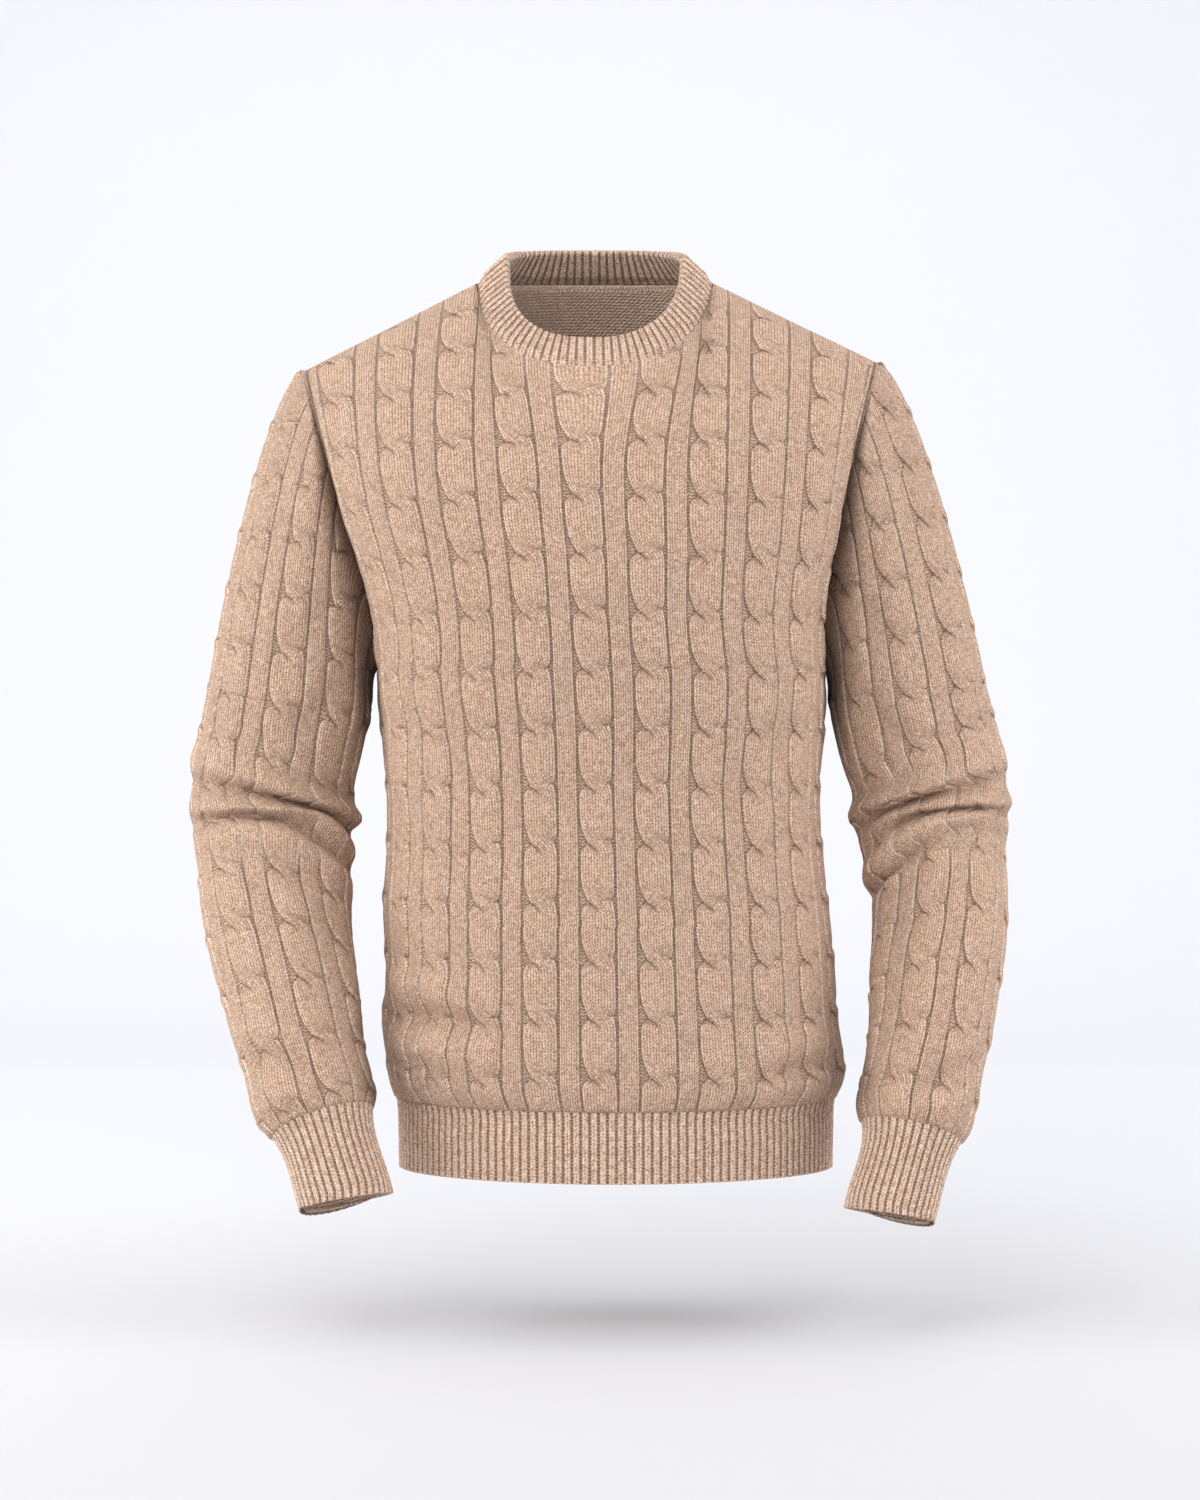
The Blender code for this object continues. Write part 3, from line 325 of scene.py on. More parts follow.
# Soft folds of the plain surfaces, from one end to the other as seen from the front: which
# way the cloth faces there, height (a trough is below zero), half width and bow
SOFT_COLUMNS = ("face", "x", "z", "to_x", "to_z", "height", "half_width", "bow")
SOFT_FOLDS = {
    piece: tuple(dict(zip(SOFT_COLUMNS, row)) for row in rows)
    for piece, rows in {
        "front": (
            (-1, -0.168, -0.570, -0.060, -0.583, -0.0085, 0.0090, 0.05),
            (-1, -0.170, -0.546, -0.085, -0.560, 0.0050, 0.0110, 0.08),
            (-1, -0.168, -0.592, -0.070, -0.603, 0.0045, 0.0100, 0.04),
            (-1, -0.128, -0.596, -0.118, -0.632, -0.0030, 0.0090, 0.00),
            (-1, 0.187, -0.606, 0.112, -0.618, -0.0060, 0.0085, -0.06),
            (-1, 0.180, -0.585, 0.120, -0.594, 0.0030, 0.0100, -0.05),
            (-1, 0.150, -0.603, 0.140, -0.634, -0.0025, 0.0090, 0.00),
            (-1, -0.166, -0.335, -0.095, -0.410, -0.0030, 0.0140, 0.10),
            (-1, -0.166, -0.370, -0.110, -0.450, 0.0025, 0.0140, 0.08),
            (-1, 0.172, -0.335, 0.100, -0.420, -0.0030, 0.0140, -0.10),
            (-1, 0.170, -0.375, 0.120, -0.455, 0.0022, 0.0140, -0.08),
            (-1, -0.120, -0.190, -0.080, -0.290, -0.0018, 0.0160, 0.10),
            (-1, 0.120, -0.180, 0.085, -0.300, -0.0018, 0.0160, -0.10),
            (-1, -0.060, -0.450, -0.040, -0.560, 0.0018, 0.0200, 0.05),
            (-1, 0.050, -0.430, 0.070, -0.570, -0.0018, 0.0220, 0.05),
            (-1, 0.010, -0.600, 0.020, -0.632, -0.0020, 0.0100, 0.00),
            (-1, -0.040, -0.606, -0.048, -0.632, -0.0018, 0.0090, 0.00),
            (-1, 0.080, -0.604, 0.084, -0.632, -0.0020, 0.0090, 0.00),
        ),
        "back": (
            (1, -0.150, -0.575, -0.050, -0.590, -0.0045, 0.0095, -0.05),
            (1, -0.150, -0.553, -0.080, -0.566, 0.0030, 0.0110, -0.06),
            (1, 0.170, -0.570, 0.070, -0.586, -0.0048, 0.0095, 0.06),
            (1, 0.168, -0.548, 0.095, -0.560, 0.0030, 0.0110, 0.05),
            (1, -0.165, -0.330, -0.090, -0.400, -0.0030, 0.0140, -0.10),
            (1, 0.168, -0.335, 0.095, -0.415, -0.0030, 0.0140, 0.10),
            (1, -0.075, -0.470, 0.080, -0.490, -0.0028, 0.0160, 0.08),
            (1, -0.095, -0.515, 0.070, -0.530, 0.0022, 0.0160, 0.06),
            (1, -0.040, -0.600, -0.046, -0.632, -0.0020, 0.0090, 0.00),
            (1, 0.060, -0.602, 0.066, -0.632, -0.0020, 0.0090, 0.00),
            (1, 0.120, -0.600, 0.128, -0.632, -0.0018, 0.0090, 0.00),
            (1, -0.110, -0.600, -0.118, -0.632, -0.0018, 0.0090, 0.00),
        ),
        "sleeve_right": (
            (-1, -0.200, -0.250, -0.250, -0.300, -0.0022, 0.0100, 0.10),
            (-1, -0.196, -0.290, -0.255, -0.345, 0.0022, 0.0110, 0.10),
            (-1, -0.196, -0.320, -0.240, -0.362, -0.0022, 0.0090, 0.08),
            (-1, -0.268, -0.470, -0.235, -0.500, -0.0022, 0.0100, 0.10),
            (-1, -0.205, -0.470, -0.245, -0.455, -0.0030, 0.0080, 0.10),
            (-1, -0.205, -0.495, -0.240, -0.480, 0.0025, 0.0090, 0.08),
            (-1, -0.262, -0.596, -0.195, -0.622, -0.0050, 0.0080, 0.08),
            (-1, -0.264, -0.578, -0.200, -0.602, 0.0035, 0.0085, 0.06),
            (-1, -0.250, -0.618, -0.190, -0.638, 0.0030, 0.0070, 0.00),
            (-1, -0.205, -0.622, -0.198, -0.645, -0.0020, 0.0070, 0.00),
            (1, -0.240, -0.230, -0.275, -0.330, -0.0022, 0.0130, 0.06),
            (1, -0.285, -0.420, -0.215, -0.400, -0.0025, 0.0110, 0.10),
            (1, -0.270, -0.520, -0.220, -0.550, -0.0022, 0.0120, 0.08),
            (1, -0.250, -0.590, -0.200, -0.612, -0.0028, 0.0090, -0.06),
        ),
        "sleeve_left": (
            (-1, 0.196, -0.250, 0.250, -0.300, -0.0022, 0.0100, -0.10),
            (-1, 0.196, -0.290, 0.260, -0.350, 0.0022, 0.0110, -0.10),
            (-1, 0.200, -0.325, 0.245, -0.365, -0.0022, 0.0090, -0.08),
            (-1, 0.285, -0.470, 0.250, -0.500, -0.0022, 0.0100, -0.10),
            (-1, 0.222, -0.500, 0.262, -0.486, -0.0028, 0.0080, -0.10),
            (-1, 0.290, -0.602, 0.228, -0.630, -0.0050, 0.0080, -0.08),
            (-1, 0.292, -0.584, 0.232, -0.608, 0.0035, 0.0085, -0.06),
            (-1, 0.280, -0.624, 0.222, -0.644, 0.0030, 0.0070, 0.00),
            (-1, 0.236, -0.628, 0.230, -0.650, -0.0020, 0.0070, 0.00),
            (1, 0.245, -0.230, 0.282, -0.330, -0.0022, 0.0130, -0.06),
            (1, 0.292, -0.420, 0.225, -0.400, -0.0025, 0.0110, -0.10),
            (1, 0.290, -0.520, 0.240, -0.550, -0.0022, 0.0120, -0.08),
            (1, 0.278, -0.595, 0.230, -0.615, -0.0028, 0.0090, 0.06),
        ),
    }.items()
}
FOLD_FADE = 0.014
FOLD_FACING = (0.2, 1.6)

# ---------------------------------------------------------------- curves and surfaces


def unit(vectors):
    return vectors / np.linalg.norm(vectors, axis=-1, keepdims=True)


def smooth_step(t):
    t = np.clip(t, 0.0, 1.0)
    return t * t * (3 - 2 * t)


def distance(first, second):
    return np.linalg.norm(first - second, axis=-1)


def run_lengths(points):
    """Length along a run of points, from its start."""
    steps = np.linalg.norm(np.diff(points, axis=0), axis=-1)
    return np.concatenate((np.zeros_like(steps[:1]), np.cumsum(steps, axis=0)))


def spread_evenly(points, share):
    """Points at the given shares of a run's length."""
    length = run_lengths(points)
    wanted = share * length[-1]
    return np.stack([np.interp(wanted, length, points[:, axis]) for axis in range(3)], axis=1)


def neck_ring(sizes, turn):
    """Points of a ring round the neck; turn 0 is the left side and -90 degrees the front."""
    power = np.where(np.cos(turn) > 0, sizes["left"], sizes["right"])
    bow = np.abs(np.cos(turn)) ** (2 / power) * np.sign(np.cos(turn))
    reach = np.abs(np.sin(turn)) ** (2 / power)
    ahead = np.where(np.sin(turn) < 0, reach, 0.0)
    behind = np.where(np.sin(turn) > 0, reach, 0.0)
    drop = sizes["front_height"] - sizes["side_height"]
    lift = sizes["back_height"] - sizes["side_height"]
    x = sizes["half_width"] * bow
    y = CREST - sizes["front"] * ahead + sizes["back"] * behind
    z = sizes["side_height"] + drop * ahead + lift * behind
    return np.stack([x, y, z], axis=-1)


def neck_share():
    """Share of a panel's half width that the neckline takes."""
    half_width = (SHOULDER_TIP[1][0] - SHOULDER_TIP[-1][0]) / 2
    return NECK_SEAM["half_width"] / half_width


def panel_top(face, across):
    """Shoulder seams and neckline of a panel; face is -1 in front and 1 behind."""
    share = neck_share()
    inside = np.clip(across / share, -1.0, 1.0)
    even = np.pi / 2 * inside
    turn = face * (np.pi / 2 - even - NECK_EVENNESS * (np.arcsin(inside) - even))
    points = neck_ring(NECK_SEAM, turn)
    for side in (-1, 1):
        corner = neck_ring(NECK_SEAM, np.array(0.0 if side > 0 else np.pi))
        part = (np.abs(across) - share) / (1 - share)
        beyond = (across * side > share)[:, None]
        points = np.where(beyond, corner + (SHOULDER_TIP[side] - corner) * part[:, None], points)
    return points


def body_row(face, level, edge, across):
    """One level row of a panel, evenly spaced between its edges."""
    depth = BODY.read("front" if face < 0 else "back", level)
    power = BODY.read("power", level)
    start = math.asin((edge / depth) ** (power / 2))
    angle = np.linspace(np.pi - start, start, ROW_SAMPLES + 1)
    bow = np.abs(np.cos(angle)) ** (2 / power)
    x = BODY.read("middle", level) + BODY.read("half_width", level) * np.sign(np.cos(angle)) * bow
    y = face * depth * np.sin(angle) ** (2 / power)
    points = np.stack([x, y, np.full_like(x, level)], axis=1)
    return spread_evenly(points, (across + 1) / 2)


def panel_row(face, up, across):
    """A row of a panel: up runs 0 to 1 to the underarm, to 2 at the chest, to 3 at the top."""
    if up <= 1:
        return body_row(face, RIB_LINE + (UNDERARM - RIB_LINE) * up, 0.0, across)
    if up <= 2:
        reach = ARMHOLE_FRONT if face < 0 else ARMHOLE_BACK
        edge = reach * math.sqrt(1 - (2 - up) ** 2)
        return body_row(face, UNDERARM + (CHEST - UNDERARM) * (up - 1), edge, across)
    chest = panel_row(face, 2.0, across)
    below = panel_row(face, 2.0 - BELOW_CHEST, across)
    aside = CORNER_SOFTNESS * (3 - up) * (1 - across**2)
    top = panel_top(face, across - aside) + 2 * panel_top(face, across)
    top = (top + panel_top(face, across + aside)) / 4
    reach = np.linalg.norm(top - chest, axis=1, keepdims=True)
    slope = (chest - below) / (chest - below)[:, 2:]
    share = neck_share()
    crest = smooth_step(np.abs(across) / share)[:, None]
    beyond = np.clip((np.abs(across) - share) / (1 - share), 0.0, 1.0)
    rise = slope * (top - chest)[:, 2:] * (CHEST_RISE + EDGE_RISE * np.abs(across[:, None]) ** 3)
    at_neck = unit(np.array([0.0, -NECK_LEAN * face, 1.0])) * reach
    steep = CREST_RISE * (1 - beyond) ** 2
    over = unit(np.stack([0 * beyond, -face + 0 * beyond, steep], axis=1))
    at_crest = over * CREST_PULL * np.abs((top - chest)[:, 1:2])
    arrive = at_neck * (1 - crest) + at_crest * crest
    return hermite(chest, rise, top, arrive, up - 2)


def squeeze(line, half, full):
    """Place of a line where fewer cables fit: the outer lines close up to the edge."""
    outermost = half - CLOSED_UP * (full - np.abs(line))
    return np.sign(line) * np.minimum(np.abs(line), outermost)


def sleeve_frame(side, level):
    """Middle of a sleeve's section and its axes: outward, back and down the arm."""
    table = SLEEVES[side]

    def middle(at):
        return np.stack([side * table.read("out", at), table.read("forward", at), at], axis=-1)

    level = np.asarray(level, dtype=float)
    down = unit(middle(level - FRAME_STEP) - middle(level + FRAME_STEP))
    outward = unit(np.array([side, 0.0, 0.0]) - down * down[..., :1] * side)
    back = np.cross(outward, down) * side
    return middle(level), outward, back, down


def fold_height(side, level, turn):
    """How far the elbow folds push the plain surface of a sleeve out or in."""
    height = np.zeros(len(turn))
    for fold in FOLDS[side]:
        turned = (np.degrees(turn) - fold["facing"] + 180.0) % 360.0 - 180.0
        window = np.cos(np.pi / 2 * np.clip(turned / fold["spread"], -1.0, 1.0)) ** 2
        along = (level - fold["level"]) / fold["half_width"]
        height += FOLD_DEPTH * fold["height"] * window * np.exp(-(along**2))
    return height


def tube_row(side, level, around):
    """A ring of a sleeve below the armpit; at the elbow it follows the folds."""
    end = CUFF_LEVELS[side][0]
    turn = np.linspace(-np.pi, np.pi, RING_SAMPLES + 1)
    bent = smooth_step((TUBE_TOP - level) / (TUBE_TOP - ELBOW_TOP))
    bent *= smooth_step((level - end) / (ELBOW_END[side] - end))
    levels = level - FOLD_DROP[side] * bent * ((1 - np.cos(turn)) / 2) ** FOLD_BEND
    middle, outward, back, down = sleeve_frame(side, levels)
    height = fold_height(side, level, turn)
    wide = SLEEVES[side].read("half_width", levels) + height
    deep = SLEEVES[side].read("half_depth", levels) + height
    ring = middle + outward * (wide * np.cos(turn))[:, None]
    ring = ring + back * (deep * np.sin(turn))[:, None] + down * (FOLD_LEAN * height)[:, None]
    return spread_evenly(ring, (around + 1) / 2)


@functools.lru_cache(maxsize=None)
def armhole_loop(side):
    """Places and points round an armhole: -1 and 1 are the underarm, 0 the shoulder tip."""
    rows = panel_runs()
    rows = rows[rows >= 1]
    edge = np.array([float(side)])
    front = np.array([panel_row(-1, up, edge)[0] for up in rows])
    back = np.array([panel_row(1, up, edge)[0] for up in rows[::-1]])
    before = run_lengths(front) / run_lengths(front)[-1] - 1
    behind = run_lengths(back) / run_lengths(back)[-1]
    return np.concatenate([before, behind[1:]]), np.concatenate([front, back[1:]])


def seam_places(around):
    """Places on the armhole seam at which the lines of a sleeve start."""
    return np.sign(around) * SLEEVE_HEAD.read("seam", np.abs(around))


def sleeve_row(side, run, around):
    """A row of a sleeve: run goes 0 to 1 from the armhole to the tube, and to 2 at the cuff."""
    end = CUFF_LEVELS[side][0]
    if run >= 1:
        return tube_row(side, TUBE_TOP + (end - TUBE_TOP) * (run - 1), around)
    place, loop = armhole_loop(side)
    seam = seam_places(around)
    start = np.stack([np.interp(seam, place, loop[:, axis]) for axis in range(3)], axis=1)
    tube = tube_row(side, TUBE_TOP, around)
    reach = np.linalg.norm(tube - start, axis=1)
    names = ("out", "bulge", "up", "pull", "land")
    out, bulge, up, pull, land = (SLEEVE_HEAD.read(name, np.abs(around)) for name in names)
    leave = unit(np.stack([out * side, bulge * np.sign(around), up], axis=1))
    _, _, _, down = sleeve_frame(side, TUBE_TOP)
    leave_slope = leave * (pull * reach)[:, None]
    arrive_slope = down * (land * reach)[:, None]
    return hermite(start, leave_slope, tube, arrive_slope, run)


# ---------------------------------------------------------------- cables

# Outline of a cable, in pitches from its middle: the shares of its half width at which lines
# stand, its half width, and how each side is drawn in at a crossing: place in parts of a repeat
# from the crossing, depth, and length above and below; then the crease between its strands
CABLE_SHARES = (0.27, 0.52, 0.74, 0.92, 1.0)
HALF_CABLE = 0.298
LEFT_NOTCH = (-0.020, 0.130, 0.22, 0.075)
RIGHT_NOTCH = (0.030, 0.040, 0.070, 0.13)
NOTCH_POWER = 1.6
CREASE_START = 0.015
CREASE_LENGTH = 0.19
CREASE_OUT = 0.160
CREASE_ABOVE = 1.3

# The plain strip beside it, also in pitches from the cable's middle: its edge, the lines on it,
# the width of a wale and how far its dark line is held off
STRIP_EDGE = 0.335
STRIP_PLACES = (0.350, 0.372, 0.430)
STRIP_WALE = 0.0825
STRIP_SOFTNESS = 0.014

# Wales across a strand, and the least width that they are spread over, in pitches
STRAND_WALES = 3
NARROW_STRAND = 0.05

# Heights over the plain surface, in metres
CABLE_HEIGHT = 0.0028
CROSSING_RISE = 0.0010
CROSSING_SINK = 0.0012
STRIP_HEIGHT = 0.0017
GUTTER_DEPTH = 0.0006
PLAIN_BRINK = 0.003

# Roundings, in pitches: of a cable's and a strip's edge, and of the low dome over a strand,
# which makes up a share of its height; and the slope of a gutter's floor where it is open
ROUNDING = 0.050
STRIP_ROUNDING = 0.032
DOME_ROUNDING = 0.26
DOME = 0.42
OPEN_GUTTER_RISE = 0.45

# Reach of a crossing's rise, and how far from it its two strands still show apart, in repeats
CROSSING_REACH = 0.17
CROSSED_END = 0.36
CROSSED_FADE = 0.14

# Beside a seam, in pitches: where a cut cable fades out, and the last line of a repeat
CUT_FADE = 0.06
EDGE_ROOM = 0.035


def edge_reach(turn, notch):
    """Distance of a cable's edge from its middle by the part of a repeat from the crossing."""
    at, depth, above, below = notch
    apart = turn - at
    length = np.where(apart > 0, above, below)
    return HALF_CABLE - depth * np.exp(-(np.abs(apart / length) ** NOTCH_POWER))


def cable_edges(turn):
    """Edges of a cable and of its upper strand, which runs from high left to low right."""
    left = -edge_reach(turn, LEFT_NOTCH)
    right = edge_reach(turn, RIGHT_NOTCH)
    begin = CREASE_START + CREASE_LENGTH
    below = -CREASE_OUT * np.clip((begin + turn) / CREASE_LENGTH, 0.0, 1.0) ** 2
    above = CREASE_OUT * CREASE_ABOVE * np.clip((begin - turn) / CREASE_LENGTH, 0.0, 1.0) ** 2
    start = np.where(turn < -CREASE_START, np.maximum(below, left), left)
    end = np.where(turn > CREASE_START, np.minimum(above, right), right)
    return left, right, start, end


def rolled(depth):
    """Height of a rolled edge, 0 to 1, by the depth in from it in shares of its rounding."""
    t = np.clip(depth, 0.0, 1.0)
    return np.sqrt(1 - (1 - t) ** 2)


def domed(depth):
    """Height of a strand, 0 to 1, by the depth in from its edge: a rolled edge and a low dome."""
    return rolled(depth / ROUNDING) * (1 - DOME + DOME * rolled(depth / DOME_ROUNDING))


def cable_relief(x, turn):
    """Height of the cloth over its plain surface across one repeat."""
    left, right, start, end = cable_edges(turn)
    near = np.exp(-((turn / CROSSING_REACH) ** 2))
    full = CABLE_HEIGHT + GUTTER_DEPTH
    whole = domed(np.minimum(x - left, right - x))
    upper = domed(np.minimum(x - start, end - x)) * (full + CROSSING_RISE * near)
    lower = whole * (full - CROSSING_SINK * near)
    crossed = np.maximum(upper, lower)
    share = smooth_step((CROSSED_END - np.abs(turn)) / CROSSED_FADE)
    cable = whole * full * (1 - share) + crossed * share
    strip = (STRIP_HEIGHT + GUTTER_DEPTH) * rolled((np.abs(x) - STRIP_EDGE) / STRIP_ROUNDING)
    from_cable = np.maximum(left - x, x - right)
    open_gutter = np.maximum(0.0, np.minimum(from_cable, STRIP_EDGE - np.abs(x)))
    gutter = OPEN_GUTTER_RISE * open_gutter * PITCH
    return np.where((x > left) & (x < right), cable, strip + gutter) - GUTTER_DEPTH


def brink(x, turn):
    """Distance in from the nearest edge of a cable or strip, in metres; below 0 in a gutter."""
    left, right, _, _ = cable_edges(turn)
    cable = np.minimum(x - left, right - x)
    strip = np.abs(x) - STRIP_EDGE + STRIP_SOFTNESS
    return np.maximum(cable, strip) * PITCH


def wale_places(x, turn, x_middle, turn_middle):
    """Wales across one repeat at the corners of a face whose middle is given."""
    left, right, start, end = cable_edges(turn)
    middle_left, middle_right, middle_start, middle_end = cable_edges(turn_middle)
    upper = STRAND_WALES * (x - start) / (end - start)
    before = STRAND_WALES * (x - left) / np.maximum(start - left, NARROW_STRAND)
    after = STRAND_WALES * (x - end) / np.maximum(right - end, NARROW_STRAND)
    strip = (np.abs(x) - STRIP_EDGE) / STRIP_WALE
    lower = np.where(x_middle > middle_end, after, upper)
    wales = np.where(x_middle < middle_start, before, lower)
    outside = (x_middle < middle_left) | (x_middle > middle_right)
    return np.where(outside, strip, wales)


def repeat_lines(full, shift):
    """Lines of the repeats: middle of the repeat, side, share of the cable, and fixed place."""
    lines = []
    for repeat in range(-math.ceil(full) - 1, math.ceil(full) + 2):
        middle = repeat - shift
        for side in (-1, 1):
            for share in CABLE_SHARES:
                lines.append((middle, side, share, 0.0))
            for place in (STRIP_EDGE, *STRIP_PLACES):
                lines.append((middle, side, 0.0, side * place))
            lines.append((middle, side, 0.5, side * STRIP_EDGE / 2))
        lines.append((middle, 1, 0.0, 0.0))
        lines.append((middle, 1, 0.0, 0.5))
    return lines


def surface_normals(points):
    return unit(np.cross(np.gradient(points, axis=1), np.gradient(points, axis=0)))


def four_corners(values):
    """Values at the four corners of each quad between rows and lines."""
    return np.stack([values[:-1, :-1], values[:-1, 1:], values[1:, 1:], values[1:, :-1]], axis=2)


class Grid:
    """A cabled surface on rows and lines, with the stitch coordinates of its quads."""

    def __init__(self, base, places, height, brinks, wales, repeats):
        self.base = base
        self.normals = surface_normals(base)
        self.places = places
        self.height = height
        self.brinks = brinks
        self.wales = wales
        self.repeats = repeats


def cabled_grid(row, runs, full, shift, spread, hand, phase_of, cables_at):
    """A cabled surface; hand is 1 where its lines run from left to right as seen from outside."""
    lines = repeat_lines(full, shift)
    rest = np.array([
        middle + share * side * HALF_CABLE + fixed for middle, side, share, fixed in lines
    ])
    kept = np.flatnonzero(np.abs(rest) < full - EDGE_ROOM)
    kept = kept[np.argsort(rest[kept])]
    rest = np.concatenate([[-full], rest[kept], [full]])
    plain = np.array([row(run, spread(run, rest)) for run in runs])
    phase = phase_of(plain)
    turn = phase - np.round(phase)
    places = np.tile(rest, (len(runs), 1))
    for column, (middle, side, share, fixed) in enumerate((lines[i] for i in kept), start=1):
        if share > 0:
            left, right, _, _ = cable_edges(turn[:, column])
            edges = (left, right) if hand > 0 else (-right, -left)
            places[:, column] = middle + share * (edges[0] if side < 0 else edges[1]) + fixed
    base = np.array([row(run, spread(run, at)) for run, at in zip(runs, places)])

    x = hand * (places - np.round(places + shift) + shift)
    limits = np.array([(cables_at(run) - CLOSED_UP * full) / (1 - CLOSED_UP) for run in runs])
    free = smooth_step((limits[:, None] - np.abs(places)) / CUT_FADE)
    height = cable_relief(x, turn) * free
    brinks = np.where(free < 0.5, PLAIN_BRINK, brink(x, turn))

    corner_places, corner_phases = four_corners(places), four_corners(phase)
    middle_places = corner_places.mean(axis=2, keepdims=True)
    middle_phases = corner_phases.mean(axis=2, keepdims=True)
    repeat = np.round(middle_places + shift) - shift
    level = np.round(middle_phases)
    x, turn = hand * (corner_places - repeat), corner_phases - level
    wales = wale_places(x, turn, hand * (middle_places - repeat), middle_phases - level)
    wales = np.stack([wales, corner_phases * CABLE_PERIOD / COURSE], axis=-1)
    return Grid(base, places, height, brinks, wales, np.stack([x, turn], axis=-1))


def soft_folds(piece, points, normals):
    """How far the soft folds of a piece push its surface out or in."""
    height = np.zeros(points.shape[:-1])
    flat = points[..., [0, 2]]
    for fold in SOFT_FOLDS[piece]:
        start = np.array([fold["x"], fold["z"]])
        run = np.array([fold["to_x"], fold["to_z"]]) - start
        along = (flat - start) @ run / (run @ run)
        part = np.clip(along, 0.0, 1.0)
        aside = np.array([-run[1], run[0]]) * fold["bow"]
        nearest = start + run * part[..., None] + aside * np.sin(np.pi * part)[..., None]
        apart = np.linalg.norm(flat - nearest, axis=-1) / fold["half_width"]
        taper = 1 - np.abs(2 * part - 1) ** 3
        faces = smooth_step(FOLD_FACING[0] + FOLD_FACING[1] * fold["face"] * normals[..., 1])
        height += fold["height"] * np.exp(-(apart**2)) * taper * faces
    return height


def seam_distance(base, last_row=1.0):
    """Distance of points from the edges; last_row multiplies the one from the last row."""
    return np.minimum(
        np.minimum(distance(base, base[:1]), distance(base, base[-1:]) * last_row),
        np.minimum(distance(base, base[:, :1]), distance(base, base[:, -1:])),
    )


def fold_softly(base, piece, outward):
    """A plain surface moved by its soft folds, which end before the seams."""
    fade = smooth_step(seam_distance(base) / FOLD_FADE)
    return base + outward * (soft_folds(piece, base, outward) * fade)[..., None]


def fade_at_seams(grid, top_fade):
    """Lowers the cables to the seams; top_fade is the length at the last row."""
    near = seam_distance(grid.base, SEAM_FADE / top_fade)
    grid.height = grid.height * smooth_step(near / SEAM_FADE)
    start, end = ARMPIT_FADE
    for side in (-1.0, 1.0):
        armpit = panel_row(-1, 1.0, np.array([side]))[0]
        apart = distance(grid.base, armpit)
        grid.height = grid.height * smooth_step((apart - start) / (end - start))


def calm_at_elbow(grid):
    """Lets the cables sink into the wool where the sleeve is pushed into folds."""
    low, high = ELBOW_REACH
    level = grid.base[:, :, 2]
    amount = smooth_step((level - low) / ELBOW_FADE) * smooth_step((high - level) / ELBOW_FADE)
    grid.height = grid.height * (1.0 - ELBOW_CALM * amount)
    grid.brinks = grid.brinks + ELBOW_BRINK * amount


# ---------------------------------------------------------------- walls


# Material of a face; wales along an edge and a course across it; a place that no cable reaches
OUTSIDE = 0
INSIDE = 1
EDGE_WALES = 100.0
EDGE_COURSE = 1.0
NO_CABLE = 0.5


def closed(rows):
    """Rows whose first column is repeated at their end."""
    return np.concatenate([rows, rows[:, :1]], axis=1)


